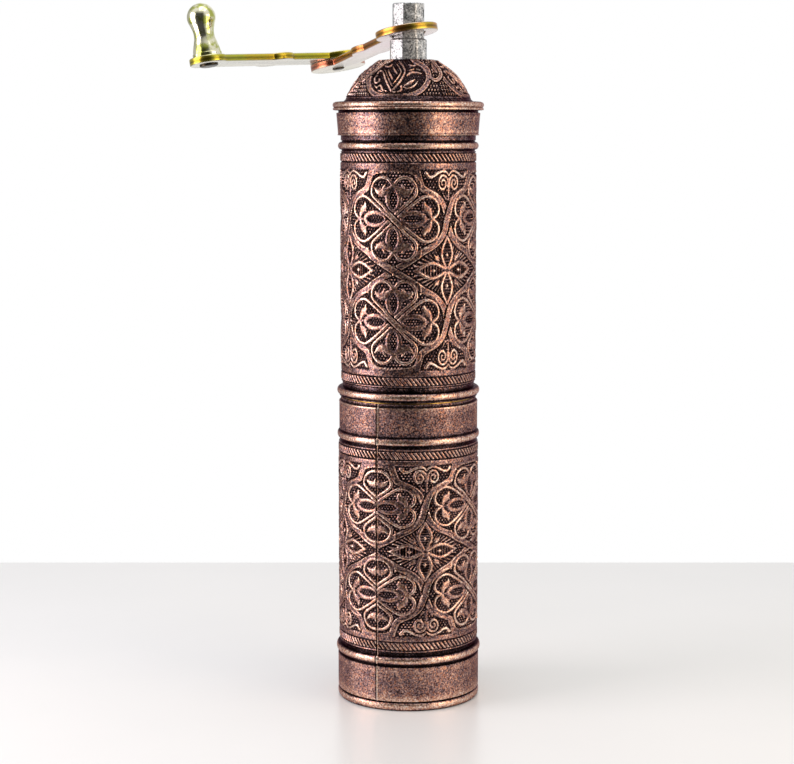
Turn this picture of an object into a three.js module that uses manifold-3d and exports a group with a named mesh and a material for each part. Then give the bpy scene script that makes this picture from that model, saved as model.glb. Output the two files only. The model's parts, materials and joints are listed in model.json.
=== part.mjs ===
import * as THREE from 'three';
import { mergeVertices } from 'three/addons/utils/BufferGeometryUtils.js';
import Module from 'manifold-3d';

// Manual coffee grinder: an ornamented copper cylinder in two halves.
// The lower half is the cup for the grounds. The upper half is the bean barrel with the burrs in it.
// A domed lid closes the barrel, and a folding crank sits loosely on the drive head above it.
// Millimetres, +Z up, origin at the middle of the base's underside, front towards -Y.

const wasm = await Module();
wasm.setup();

// Bores that the turned pieces share
const barrelBore = 19.6;
const cupBoreStep = 0.6;
const fitGap = 0.1;
const slipGap = 0.25;
const restGap = 0.05;

// Cup, from the floor up
const baseRimHeight = 2.66;
const baseRimWall = 1.5;
const baseRimRound = 0.9;
const baseBandHeight = 10.8;
const baseBandWall = 1.44;
const baseGrooveHeight = 0.65;
const baseGrooveWall = 0.95;
const baseBeadHeight = 2.6;
const baseBeadProud = 0.85;
const cupPanelHeight = 63.7;
const cupPanelWall = 1.1;
const shoulderBeadHeight = 2.3;
const shoulderBeadProud = 0.45;
const collarGrooveHeight = 0.6;
const collarHeight = 8.27;
const collarWall = 0.82;
const lipHeight = 1.23;
const lipChamfer = 0.4;
const floorThickness = 1.6;
const floorSpigotHeight = 5;
const floorSpigotWall = 0.9;

// Barrel, from the split up
const splitGap = 0.4;
const footHeight = 0.46;
const footWall = 1.3;
const footBeadHeight = 2.37;
const footBeadProud = 0.75;
const footGrooveHeight = 1.37;
const grooveWall = 0.4;
const barrelPanelHeight = 68.6;
const barrelPanelWall = 0.85;
const topGrooveHeight = 1.2;
const topBeadHeight = 2.66;
const topBeadProud = 0.95;

// Neck sleeve that plugs into the cup
const sleeveWall = 0.9;
const sleeveDrop = 13.6;
const sleeveRise = 15;

// Lid seat that is pressed into the barrel's mouth
const seatSkirtHeight = 11.9;
const seatWall = 1.1;
const seatNeckStep = 0.65;
const seatNeckHeight = 9.9;

// Lid: a turned ring with a dome on it
const lidGap = 0.2;
const lidRise = 1.55;
const lidLipHeight = 0.25;
const lidBandHeight = 6.5;
const lidBandWall = 0.65;
const lidBandFlare = 0.45;
const lidGrooveHeight = 0.7;
const lidGrooveWall = 0.5;
const rimBeadHeight = 2.55;
const rimBeadProud = 1.7;
const rimShelfWidth = 2.8;
const domeWall = 0.8;
const domeBaseRadius = 18.67;
const domeHeight = 12.3;
const domeTopRadius = 8;
const domeSpigotHeight = 1.3;
const ferruleWall = 1.1;
const ferruleHeight = 2.2;

// Drive head: a stepped octagonal casting
const headSides = 8;
const headLowerRadius = 5.8;
const headUpperRadius = 5;
const headHiddenHeight = 7.2;
const headLowerHeight = 6;
const headUpperHeight = 10.6;
const headChamfer = 0.35;
const headTurn = THREE.MathUtils.degToRad(27);
const headClearance = 0.4;
const headPinRadius = 1;
const headPinRise = 3.2;
const headPinSink = 0.2;

// Spindle and what it carries
const spindleRadius = 3;
const spindleTopRise = 4.3;
const spindleProud = 0.4;
const springLength = 16.5;
const springWire = 0.45;
const springTurns = 7;
const springClearance = 1.15;
const springCollarHeight = 2;

// Burrs
const burrHeight = 14;
const burrSeat = 4.8;
const burrRimWidth = 3.5;
const grindHeight = 6;
const grindSlope = 3;
const throatDrop = 1.5;
const burrGap = 1.2;
const burrSkirtHeight = 1.5;
const burrBoreWall = 2;
const burrTeeth = 12;
const burrToothDepth = 0.5;
const burrTwist = THREE.MathUtils.degToRad(40);
const burrToothShape = [0, 1, 0.35];
const burrNutHeight = 2.4;
const burrNutRadius = 5.2;

// Lower bridge with the adjusting screw
const ballRadius = 2;
const ballGap = 0.1;
const screwRadius = 2;
const screwTipReach = 0.9;
const bossHeight = 6;
const bossRadius = 4.6;
const strapThickness = 3;
const strapWidth = 9;
const strapDrop = 1;
const strapLegWidth = 3.2;
const nutHeight = 2.8;
const nutRadius = 4;
const nutGap = 0.2;
const thumbGap = 0.9;
const thumbHeight = 4.5;
const thumbRadius = 6;
const thumbKnurls = 18;
const thumbKnurlDepth = 0.35;
const bridgeScrewRadius = 1.25;
const bridgeScrewBite = 6;
const bridgeScrewHeadRadius = 2.2;
const bridgeScrewHeadHeight = 1.5;
const bridgeSlotWidth = 0.6;
const bridgeSlotDepth = 0.7;

// Upper bridge with its bush
const upperBridgeDrop = 6;
const upperRingHeight = 6;
const upperRingWall = 1.2;
const upperStrapThickness = 3;
const upperStrapWidth = 7;
const upperBossRadius = 5.6;
const bushHeight = 11;
const bushWall = 1;

// Folding crank
const armLength = 54;
const armThickness = 2.2;
const armNeck = 4.6;
const armLobeRadius = 6.3;
const headBossRadius = 9.35;
const headBossShift = 0.8;
const pivotBossRadius = 8.85;
const knobBossRadius = 5.7;
const headHolePlay = 0.07;
const crankTilt = THREE.MathUtils.degToRad(10.6);
const crankSagAzimuth = THREE.MathUtils.degToRad(149);
const innerArmAzimuth = THREE.MathUtils.degToRad(115.5);
const outerArmAzimuth = THREE.MathUtils.degToRad(-134.3);
const headRestGap = 0.3;
const rivetRadius = 1.85;
const rivetHeadRadius = 3.1;
const rivetHeadHeight = 0.9;
const rivetShoulderWidth = 0.87;
const rivetShoulderDrop = 0.22;
const rivetGap = 0.12;
const armRestGap = 0.05;
const knobPinRadius = 1.6;
const knobPinHeadRadius = 2.85;
const knobPinHeadHeight = 0.7;
const knobPinReach = 10;
const knobGap = 0.15;
const knobCollarRadius = 4.45;
const knobCollarHeight = 1.3;
const knobNeckRadius = 2.85;
const knobNeckRise = 6.4;
const knobFlareHeight = 1.8;
const knobBallRadius = 4.5;
const knobBallLatitudes = [-30, 0, 30, 60];
const knobHeight = 16.5;

// How far a cutter runs past the face that it opens, and how deep two joined solids run into each other
const cutOver = 1;
const joinDepth = 0.1;

// Facets round a turn
const bodyFacets = 40;
const smallFacets = 20;
const armFacets = 12;
const pinFacets = 12;
const ballSegments = 12;
const ballRings = 8;
const wireFacets = 5;
const springTurnSteps = 8;
const beadSteps = 4;
const capSteps = 8;

// Radii that follow
const cupBore = barrelBore + cupBoreStep;
const cupPanelRadius = cupBore + cupPanelWall;
const collarRadius = cupBore + collarWall;
const barrelPanelRadius = barrelBore + barrelPanelWall;
const barrelGrooveRadius = barrelBore + grooveWall;
const sleeveRadius = barrelBore - fitGap;
const sleeveStepRadius = cupBore - slipGap;
const sleeveBore = sleeveRadius - sleeveWall;
const outerBurrRadius = sleeveBore - fitGap;
const throatRadius = outerBurrRadius - burrRimWidth;
const mouthRadius = throatRadius - throatDrop;
const waistRadius = mouthRadius - grindSlope;
const seatRadius = barrelBore - fitGap;
const seatBore = seatRadius - seatWall;
const seatNeckRadius = barrelBore + seatNeckStep;
const lidBore = seatNeckRadius + lidGap;
const shelfRadius = lidBore - rimShelfWidth;
const rimRadius = lidBore + lidGrooveWall + rimBeadProud;
const headHoleRadius = headLowerRadius + headClearance;
const bushRadius = spindleRadius + fitGap + bushWall;
const springRadius = spindleRadius + springClearance + springWire;

// Heights that follow
const cupBandBottom = baseRimHeight;
const cupPanelBottom = cupBandBottom + baseBandHeight + baseGrooveHeight + baseBeadHeight;
const cupPanelTop = cupPanelBottom + cupPanelHeight;
const collarBottom = cupPanelTop + shoulderBeadHeight + collarGrooveHeight;
const cupTop = collarBottom + collarHeight + lipHeight;
const barrelBottom = cupTop + splitGap;
const barrelPanelBottom = barrelBottom + footHeight + footBeadHeight + footGrooveHeight;
const barrelPanelTop = barrelPanelBottom + barrelPanelHeight;
const barrelTop = barrelPanelTop + topGrooveHeight + topBeadHeight;
const seatTop = barrelTop + seatNeckHeight;
const lidBottom = barrelTop + lidRise;
const lidBandTop = lidBottom + lidLipHeight + lidBandHeight;
const domeBottom = lidBandTop + lidGrooveHeight + rimBeadHeight;
const domeTop = domeBottom + domeHeight;
const headBottom = domeTop - headHiddenHeight;
const headShoulder = domeTop + headLowerHeight;
const headTop = headShoulder + headUpperHeight;
const spindleTop = headShoulder + spindleTopRise;
const burrBottom = barrelBottom + burrSeat;
const burrWaist = burrBottom + grindHeight;
const burrTop = burrBottom + burrHeight;
const innerBurrFoot = burrBottom - burrGap - burrSkirtHeight;
const burrNutTop = innerBurrFoot - restGap;
const burrNutBottom = burrNutTop - burrNutHeight;
const spindleBottom = burrNutBottom - spindleProud;
const ballMiddle = spindleBottom - ballGap - ballRadius;
const screwTip = ballMiddle - ballRadius - ballGap;
const bossTop = screwTip - screwTipReach;
const bossBottom = bossTop - bossHeight;
const strapTop = bossTop - strapDrop;
const strapBottom = strapTop - strapThickness;
const nutBottom = bossBottom - nutGap - nutHeight;
const thumbTop = nutBottom - thumbGap;
const bushTop = barrelTop - seatSkirtHeight - upperBridgeDrop;
const bushBottom = bushTop - bushHeight;
const springBottom = bushBottom - springLength;

const solid = (geometry) => {
  const bare = geometry.index ? geometry.toNonIndexed() : geometry.clone();
  for (const name of Object.keys(bare.attributes)) {
    if (name !== 'position') bare.deleteAttribute(name);
  }
  const merged = mergeVertices(bare, 1e-4);
  const triangles = [];
  for (let i = 0; i < merged.index.count; i += 3) {
    const [a, b, c] = [0, 1, 2].map((k) => merged.index.getX(i + k));
    if (a !== b && b !== c && c !== a) triangles.push(a, b, c);
  }
  return new wasm.Manifold(new wasm.Mesh({
    numProp: 3,
    vertProperties: new Float32Array(merged.attributes.position.array),
    triVerts: new Uint32Array(triangles),
  }));
};

// A profile runs anticlockwise in [radius, height], and closes on itself unless it starts on the axis.
const turned = (profile, facets = bodyFacets) => {
  const closed = profile[0][0] === 0 ? profile : [...profile, profile[0]];
  const points = closed.map(([radius, height]) => new THREE.Vector2(radius, height));
  return solid(new THREE.LatheGeometry(points, facets).rotateX(Math.PI / 2));
};

const rod = (radius, bottom, top, facets = smallFacets) => turned(
  [[0, bottom], [radius, bottom], [radius, top], [0, top]], facets);

const tube = (inner, outer, bottom, top, facets = bodyFacets) => turned(
  [[inner, bottom], [outer, bottom], [outer, top], [inner, top]], facets);

// A half-round bead on a turned profile
const bead = (radius, proud, bottom, height) => {
  const points = [];
  for (let i = 0; i <= beadSteps; i += 1) {
    const angle = (Math.PI * i) / beadSteps;
    points.push([radius + proud * Math.sin(angle), bottom + (height * (1 - Math.cos(angle))) / 2]);
  }
  return points;
};

const prism = (sides, radius, bottom, top, turn = 0) => solid(
  new THREE.CylinderGeometry(radius, radius, top - bottom, sides)
    .rotateX(Math.PI / 2).rotateZ(turn).translate(0, 0, (top + bottom) / 2));

const block = (width, depth, bottom, top, x = 0) => solid(
  new THREE.BoxGeometry(width, depth, top - bottom).translate(x, 0, (top + bottom) / 2));

// A closed skin through rings of equal point counts, from the lowest ring to the highest
const skin = (rings) => {
  const count = rings[0].length;
  const middle = (ring) => ring.reduce((sum, p) => sum.add(p), new THREE.Vector3()).divideScalar(count);
  const points = [];
  const face = (...corners) => corners.forEach((p) => points.push(p.x, p.y, p.z));
  const lowest = rings[0];
  const highest = rings[rings.length - 1];
  const [foot, crown] = [middle(lowest), middle(highest)];
  for (let i = 0; i < count; i += 1) {
    const next = (i + 1) % count;
    face(foot, lowest[next], lowest[i]);
    face(crown, highest[i], highest[next]);
    for (let k = 0; k + 1 < rings.length; k += 1) {
      face(rings[k][i], rings[k][next], rings[k + 1][next]);
      face(rings[k][i], rings[k + 1][next], rings[k + 1][i]);
    }
  }
  const geometry = new THREE.BufferGeometry();
  geometry.setAttribute('position', new THREE.BufferAttribute(new Float32Array(points), 3));
  return solid(geometry);
};

// A toothed cone: each section is [radius, height, tooth depth], and the teeth twist as they rise
const toothed = (sections, teeth, twistRate) => {
  return skin(sections.map(([radius, height, depth]) => {
    const ring = [];
    for (let i = 0; i < teeth * burrToothShape.length; i += 1) {
      const turn = (2 * Math.PI * i) / (teeth * burrToothShape.length);
      const angle = turn + twistRate * (height - sections[0][1]);
      const reach = radius + depth * burrToothShape[i % burrToothShape.length];
      ring.push(new THREE.Vector3(reach * Math.cos(angle), reach * Math.sin(angle), height));
    }
    return ring;
  }));
};

const mesh = (name, shape, color, roughness, metalness = 1) => {
  const { vertProperties, triVerts } = shape.getMesh();
  const geometry = new THREE.BufferGeometry();
  geometry.setAttribute('position', new THREE.BufferAttribute(new Float32Array(vertProperties), 3));
  geometry.setIndex(new THREE.BufferAttribute(new Uint32Array(triVerts), 1));
  geometry.computeVertexNormals();
  const object = new THREE.Mesh(geometry, new THREE.MeshStandardMaterial({ color, roughness, metalness }));
  object.name = name;
  return object;
};

const copper = (name, shape) => mesh(name, shape, 0x7a5048, 0.45);
const brass = (name, shape) => mesh(name, shape, 0xb08d4c, 0.4);
const steel = (name, shape) => mesh(name, shape, 0x8d8f92, 0.4);
const burrIron = (name, shape) => mesh(name, shape, 0x4a4b4e, 0.6);
const castHead = (name, shape) => mesh(name, shape, 0xa9abad, 0.35);
const crankSteel = (name, shape) => mesh(name, shape, 0xc0a53c, 0.3);
const knobBrass = (name, shape) => mesh(name, shape, 0xc9c79a, 0.2);

const cup = () => {
  const bandRadius = cupBore + baseBandWall;
  const grooveRadius = cupBore + baseGrooveWall;
  const bandTop = cupBandBottom + baseBandHeight;
  const shell = turned([
    [cupBore, cupBandBottom],
    [bandRadius, cupBandBottom],
    [bandRadius, bandTop],
    [grooveRadius, bandTop],
    ...bead(cupPanelRadius, baseBeadProud, bandTop + baseGrooveHeight, baseBeadHeight),
    ...bead(cupPanelRadius, shoulderBeadProud, cupPanelTop, shoulderBeadHeight),
    [collarRadius, cupPanelTop + shoulderBeadHeight + collarGrooveHeight / 2],
    [collarRadius, cupTop - lipHeight],
    [collarRadius - lipChamfer, cupTop],
    [cupBore, cupTop],
  ]);
  const rim = cupBore + baseRimWall;
  const spigot = cupBore - fitGap;
  const base = turned([
    [0, 0],
    [rim - baseRimRound, 0],
    [rim, baseRimHeight / 2],
    [rim - baseRimRound / 2, baseRimHeight - restGap],
    [spigot, baseRimHeight - restGap],
    [spigot, baseRimHeight + floorSpigotHeight],
    [spigot - floorSpigotWall, baseRimHeight + floorSpigotHeight],
    [spigot - floorSpigotWall, floorThickness],
    [0, floorThickness],
  ]);
  return [copper('cup_shell', shell), copper('cup_base', base)];
};

const barrel = () => {
  const footRadius = barrelBore + footWall;
  const shell = turned([
    [barrelBore, barrelBottom],
    [footRadius, barrelBottom],
    ...bead(footRadius, footBeadProud, barrelBottom + footHeight, footBeadHeight),
    [barrelGrooveRadius, barrelBottom + footHeight + footBeadHeight],
    [barrelGrooveRadius, barrelPanelBottom],
    [barrelPanelRadius, barrelPanelBottom],
    [barrelPanelRadius, barrelPanelTop],
    [barrelGrooveRadius, barrelPanelTop],
    ...bead(barrelGrooveRadius, topBeadProud, barrelPanelTop + topGrooveHeight, topBeadHeight),
    [barrelBore, barrelTop],
  ]);
  const sleeve = turned([
    [sleeveBore, barrelBottom - sleeveDrop],
    [sleeveStepRadius, barrelBottom - sleeveDrop],
    [sleeveStepRadius, barrelBottom - restGap],
    [sleeveRadius, barrelBottom - restGap],
    [sleeveRadius, barrelBottom + sleeveRise],
    [sleeveBore, barrelBottom + sleeveRise],
  ]);
  const seat = turned([
    [seatBore, barrelTop - seatSkirtHeight],
    [seatRadius, barrelTop - seatSkirtHeight],
    [seatRadius, barrelTop + restGap],
    [seatNeckRadius, barrelTop + restGap],
    [seatNeckRadius, seatTop],
    [seatBore, seatTop],
  ]);
  return [copper('barrel_tube', shell), brass('neck_sleeve', sleeve), brass('lid_seat', seat)];
};

const upperBridge = () => {
  const ringRadius = barrelBore - fitGap;
  const strapLength = 2 * (ringRadius - upperRingWall / 2);
  const strap = block(strapLength, upperStrapWidth, bushTop - upperRingHeight, bushTop - upperRingHeight
    + upperStrapThickness);
  const bridge = tube(ringRadius - upperRingWall, ringRadius, bushTop - upperRingHeight, bushTop)
    .add(strap)
    .add(rod(upperBossRadius, bushBottom + restGap, bushTop))
    .subtract(rod(bushRadius + fitGap, bushBottom - cutOver, bushTop + cutOver));
  const bush = tube(spindleRadius + fitGap, bushRadius, bushBottom, bushTop, smallFacets);
  return [steel('upper_bridge', bridge), brass('upper_bush', bush)];
};

const burrScrewRadius = (outerBurrRadius + mouthRadius) / 2;

const screwPositions = [-burrScrewRadius, burrScrewRadius];

const outerBurr = () => {
  const core = toothed([
    [mouthRadius + (cutOver * grindSlope) / grindHeight, burrBottom - cutOver, 0],
    [mouthRadius, burrBottom, 0],
    [waistRadius, burrWaist, burrToothDepth],
    [throatRadius, burrTop, 0],
    [throatRadius, burrTop + cutOver, 0],
  ], burrTeeth, burrTwist / burrHeight);
  const ring = rod(outerBurrRadius, burrBottom, burrTop, bodyFacets).subtract(core);
  return screwPositions.reduce((burr, x) => burr.subtract(
    rod(bridgeScrewRadius + fitGap, burrBottom - cutOver, burrBottom + bridgeScrewBite + fitGap)
      .translate([x, 0, 0])), ring);
};

const innerBurr = () => {
  const nose = spindleRadius + burrBoreWall;
  const skirt = mouthRadius - burrToothDepth;
  const waist = waistRadius - burrToothDepth;
  const cone = toothed([
    [skirt, innerBurrFoot, 0],
    [skirt, innerBurrFoot + burrSkirtHeight, 0],
    [waist - burrGap, burrWaist - burrGap, burrToothDepth],
    [nose, burrTop - burrGap, burrToothDepth],
  ], burrTeeth, burrTwist / burrHeight);
  return cone.subtract(rod(spindleRadius + fitGap, spindleBottom - cutOver, burrTop + cutOver));
};

const lowerBridge = () => {
  const legOuter = 2 * (burrScrewRadius + strapLegWidth / 2);
  const legInner = legOuter - 2 * strapLegWidth;
  const strap = block(legOuter, strapWidth, strapBottom, burrBottom - restGap)
    .subtract(block(legInner, strapWidth + 2 * cutOver, strapTop, burrBottom + cutOver))
    .add(rod(bossRadius, bossBottom, bossTop))
    .intersect(rod(sleeveBore - slipGap, bossBottom - cutOver, burrBottom + cutOver, bodyFacets));
  return screwPositions.reduce((bridge, x) => bridge.subtract(
    rod(bridgeScrewRadius + fitGap, bossBottom - cutOver, burrBottom + cutOver).translate([x, 0, 0])), strap)
    .subtract(rod(screwRadius + fitGap, bossBottom - cutOver, bossTop + cutOver));
};

const bridgeScrews = () => {
  const shoulder = strapBottom - restGap;
  const face = shoulder - bridgeScrewHeadHeight;
  const slotLength = 2 * (bridgeScrewHeadRadius + cutOver);
  const screw = rod(bridgeScrewHeadRadius, face, shoulder)
    .add(rod(bridgeScrewRadius, shoulder - joinDepth, burrBottom + bridgeScrewBite))
    .subtract(block(slotLength, bridgeSlotWidth, face - cutOver, face + bridgeSlotDepth));
  return screwPositions.map((x, i) => steel(`bridge_screw_${i + 1}`, screw.translate([x, 0, 0])));
};

const adjustScrew = () => {
  const thumb = skin([thumbTop - thumbHeight, thumbTop].map((height) => {
    const ring = [];
    for (let i = 0; i < 2 * thumbKnurls; i += 1) {
      const angle = (Math.PI * i) / thumbKnurls;
      const reach = thumbRadius - thumbKnurlDepth * (i % 2);
      ring.push(new THREE.Vector3(reach * Math.cos(angle), reach * Math.sin(angle), height));
    }
    return ring;
  }));
  return thumb.add(rod(screwRadius, thumbTop - joinDepth, screwTip));
};

const jamNut = () => prism(6, nutRadius, nutBottom, nutBottom + nutHeight)
  .subtract(rod(screwRadius + fitGap, nutBottom - cutOver, nutBottom + nutHeight + cutOver));

const spring = () => {
  const [low, high] = [springBottom + restGap + springWire, bushBottom - restGap - springWire];
  class Helix extends THREE.Curve {
    getPoint(t, target = new THREE.Vector3()) {
      const angle = 2 * Math.PI * springTurns * t;
      return target.set(springRadius * Math.cos(angle), springRadius * Math.sin(angle), low + t * (high - low));
    }
  }
  const wire = new THREE.Shape().absarc(0, 0, springWire, 0, 2 * Math.PI, false);
  return solid(new THREE.ExtrudeGeometry(wire, {
    steps: springTurnSteps * springTurns,
    curveSegments: wireFacets,
    extrudePath: new Helix(),
  }));
};

const headOctagon = (radius, bottom, top) => prism(headSides, radius, bottom, top, headTurn);

const driveHead = () => headOctagon(headLowerRadius, headBottom, headShoulder)
  .add(headOctagon(headUpperRadius, headShoulder - joinDepth, headTop - headChamfer))
  .add(solid(new THREE.CylinderGeometry(headUpperRadius - headChamfer, headUpperRadius, headChamfer, headSides)
    .rotateX(Math.PI / 2).rotateZ(headTurn).translate(0, 0, headTop - headChamfer / 2)))
  .subtract(rod(spindleRadius + fitGap, headBottom - cutOver, spindleTop + fitGap))
  .subtract(headPinRod(headPinRadius + fitGap, 2 * (headLowerRadius + cutOver)));

const headPinRod = (radius, length) => solid(new THREE.CylinderGeometry(radius, radius, length, pinFacets)
  .rotateZ(Math.PI / 2).rotateZ(headTurn + Math.PI / headSides).translate(0, 0, headBottom + headPinRise));

const spindle = () => rod(spindleRadius, spindleBottom, spindleTop)
  .subtract(headPinRod(headPinRadius + fitGap, 2 * (spindleRadius + cutOver)));

const lid = () => {
  const lipRadius = lidBore + lidBandWall;
  const grooveRadius = lidBore + lidGrooveWall;
  const ring = turned([
    [lidBore, lidBottom],
    [lipRadius, lidBottom],
    [lipRadius, lidBottom + lidLipHeight],
    [lipRadius + lidBandFlare, lidBandTop],
    [grooveRadius, lidBandTop],
    ...bead(grooveRadius, rimRadius - grooveRadius, lidBandTop + lidGrooveHeight, rimBeadHeight),
    [shelfRadius, domeBottom],
    [shelfRadius, seatTop + restGap],
    [lidBore, seatTop + restGap],
  ]);
  // The dome is a cap of a sphere whose middle lies below the dome's foot.
  const middle = (domeHeight ** 2 + domeTopRadius ** 2 - domeBaseRadius ** 2) / (2 * domeHeight);
  const sphere = Math.hypot(domeBaseRadius, middle);
  const cap = (radius, from, to) => {
    const points = [];
    const [start, end] = [Math.asin((from - middle) / radius), Math.asin((to - middle) / radius)];
    for (let i = 0; i <= capSteps; i += 1) {
      const angle = start + ((end - start) * i) / capSteps;
      points.push([radius * Math.cos(angle), domeBottom + middle + radius * Math.sin(angle)]);
    }
    return points;
  };
  const spigotRadius = shelfRadius - fitGap;
  const ferruleRadius = headHoleRadius + ferruleWall;
  const dome = turned([
    [spigotRadius - domeWall, domeBottom - domeSpigotHeight],
    [spigotRadius, domeBottom - domeSpigotHeight],
    [spigotRadius, domeBottom + restGap],
    ...cap(sphere, restGap, domeHeight),
    [ferruleRadius + fitGap, domeTop],
    [ferruleRadius + fitGap, domeTop - domeWall],
    ...cap(sphere - domeWall, domeWall, domeHeight - domeWall).reverse(),
  ]);
  const ferrule = tube(headHoleRadius, ferruleRadius, domeTop - ferruleHeight, domeTop, smallFacets);
  return [copper('lid_ring', ring), copper('lid_dome', dome), copper('lid_ferrule', ferrule)];
};

// A flat crank arm along +X: a boss at each end and a lobe half way along its straight neck.
// The first boss may lie a little along the arm from the hole in it.
const armPlate = (firstBoss, lastBoss, firstShift = 0) => {
  const middle = armLength / 2;
  const start = (radius) => Math.asin(armNeck / radius);
  const [first, last, lobe] = [start(firstBoss), start(lastBoss), start(armLobeRadius)];
  const outline = new THREE.Shape();
  outline.absarc(armLength, 0, lastBoss, last - Math.PI, Math.PI - last, false);
  outline.absarc(middle, 0, armLobeRadius, lobe, Math.PI - lobe, false);
  outline.absarc(firstShift, 0, firstBoss, first, 2 * Math.PI - first, false);
  outline.absarc(middle, 0, armLobeRadius, Math.PI + lobe, 2 * Math.PI - lobe, false);
  return solid(new THREE.ExtrudeGeometry(outline, {
    depth: armThickness,
    bevelEnabled: false,
    curveSegments: armFacets,
  }));
};

const along = (azimuth, bottom) => new THREE.Matrix4().makeRotationZ(azimuth).setPosition(0, 0, bottom);

const crank = () => {
  // The arm leans on the upright head, so its hole is the head's own section drawn out by the lean.
  const lean = (armThickness / 2) * Math.tan(crankTilt);
  const flat = Math.cos(Math.PI / headSides);
  const holeRadius = (headUpperRadius * flat / Math.cos(crankTilt) + lean + headHolePlay) / flat;
  const leanAzimuth = crankSagAzimuth + Math.PI - innerArmAzimuth;
  const hole = prism(headSides, holeRadius, -cutOver, armThickness + cutOver, headTurn - innerArmAzimuth)
    .translate([lean * Math.cos(leanAzimuth), lean * Math.sin(leanAzimuth), 0]);
  const pivotHole = rod(rivetRadius + rivetGap, -cutOver, armThickness + cutOver);
  const inner = armPlate(headBossRadius, pivotBossRadius, headBossShift)
    .subtract(hole)
    .subtract(pivotHole.translate([armLength, 0, 0]))
    .transform(along(innerArmAzimuth, 0).elements);

  const pivot = new THREE.Vector3(armLength, 0, 0).applyMatrix4(along(innerArmAzimuth, 0));
  const outerBottom = armThickness + armRestGap;
  const outerFrame = along(outerArmAzimuth, outerBottom).setPosition(pivot.x, pivot.y, outerBottom);
  const knobPlace = new THREE.Vector3(armLength, 0, 0).applyMatrix4(outerFrame);
  const outer = armPlate(pivotBossRadius, knobBossRadius)
    .subtract(pivotHole)
    .subtract(rod(knobPinRadius + fitGap, -cutOver, armThickness + cutOver).translate([armLength, 0, 0]))
    .transform(outerFrame.elements);

  const rivetTop = outerBottom + armThickness + armRestGap;
  const rivet = rod(rivetRadius, 0, rivetTop + joinDepth)
    .add(turned([
      [0, rivetTop],
      [rivetHeadRadius, rivetTop],
      [rivetHeadRadius - rivetShoulderWidth, rivetTop + rivetHeadHeight - rivetShoulderDrop],
      [0, rivetTop + rivetHeadHeight],
    ], smallFacets))
    .translate([pivot.x, pivot.y, 0]);

  const pinTop = armThickness + knobPinReach;
  const pin = rod(knobPinHeadRadius, -knobPinHeadHeight, -armRestGap)
    .add(rod(knobPinRadius, -armRestGap - joinDepth, pinTop))
    .translate([knobPlace.x, knobPlace.y, knobPlace.z]);

  const knobBottom = armThickness + armRestGap;
  const ballRise = knobHeight - knobBallRadius;
  const ballArc = knobBallLatitudes.map((degrees) => {
    const angle = THREE.MathUtils.degToRad(degrees);
    return [knobBallRadius * Math.cos(angle), ballRise + knobBallRadius * Math.sin(angle)];
  });
  const flare = (height) => (knobCollarRadius - knobNeckRadius)
    * ((knobNeckRise - knobCollarHeight - height) / (knobNeckRise - knobCollarHeight)) ** 3;
  const knobShape = turned([
    [0, knobPinReach + knobGap],
    [knobPinRadius + knobGap, knobPinReach + knobGap],
    [knobPinRadius + knobGap, 0],
    [knobCollarRadius, 0],
    [knobCollarRadius, knobCollarHeight],
    [knobNeckRadius + flare(knobFlareHeight), knobCollarHeight + knobFlareHeight],
    [knobNeckRadius, knobNeckRise],
    ...ballArc,
    [0, knobHeight],
  ], smallFacets).translate([knobPlace.x, knobPlace.y, knobPlace.z + knobBottom]);

  const seated = new THREE.Group();
  const cornerDrop = headLowerRadius * Math.tan(crankTilt);
  const tiltAxis = new THREE.Vector3(-Math.sin(crankSagAzimuth), Math.cos(crankSagAzimuth), 0);
  seated.position.z = headShoulder + headRestGap + cornerDrop;
  seated.quaternion.setFromAxisAngle(tiltAxis, crankTilt);
  seated.add(crankSteel('inner_arm', inner), crankSteel('pivot_rivet', rivet), crankSteel('outer_arm', outer),
    steel('knob_pin', pin), knobBrass('knob', knobShape));
  return seated;
};

const grinder = new THREE.Group();
grinder.add(...cup(), ...barrel(), ...upperBridge());
grinder.add(burrIron('outer_burr', outerBurr()), steel('lower_bridge', lowerBridge()));
grinder.add(...bridgeScrews(), steel('jam_nut', jamNut()), steel('adjust_screw', adjustScrew()));
grinder.add(steel('thrust_ball', solid(new THREE.SphereGeometry(ballRadius, ballSegments, ballRings)
  .rotateX(Math.PI / 2).translate(0, 0, ballMiddle))));
grinder.add(steel('spindle', spindle()), burrIron('inner_burr', innerBurr()));
grinder.add(steel('burr_nut', prism(6, burrNutRadius, burrNutBottom, burrNutTop)
  .subtract(rod(spindleRadius + fitGap, burrNutBottom - cutOver, burrNutTop + cutOver))));
grinder.add(steel('spring_collar', tube(spindleRadius + fitGap, springRadius + springWire,
  springBottom - springCollarHeight, springBottom, smallFacets)));
grinder.add(steel('spring', spring()));
grinder.add(castHead('drive_head', driveHead()));
const headAcrossFlats = 2 * headLowerRadius * Math.cos(Math.PI / headSides);
grinder.add(steel('head_pin', headPinRod(headPinRadius, headAcrossFlats - 2 * headPinSink)));
grinder.add(...lid());
grinder.add(crank());

export default grinder;
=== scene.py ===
"""A manual coffee grinder of embossed, antiqued copper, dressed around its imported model.

Blender works in metres. The sizes below are in millimetres and become metres where a mesh is made.
+Z is up, the front is towards -Y, and an azimuth is measured from the front towards +X.
"""

import json
import math

import bpy
import numpy as np
from mathutils import Matrix, Vector

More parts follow.
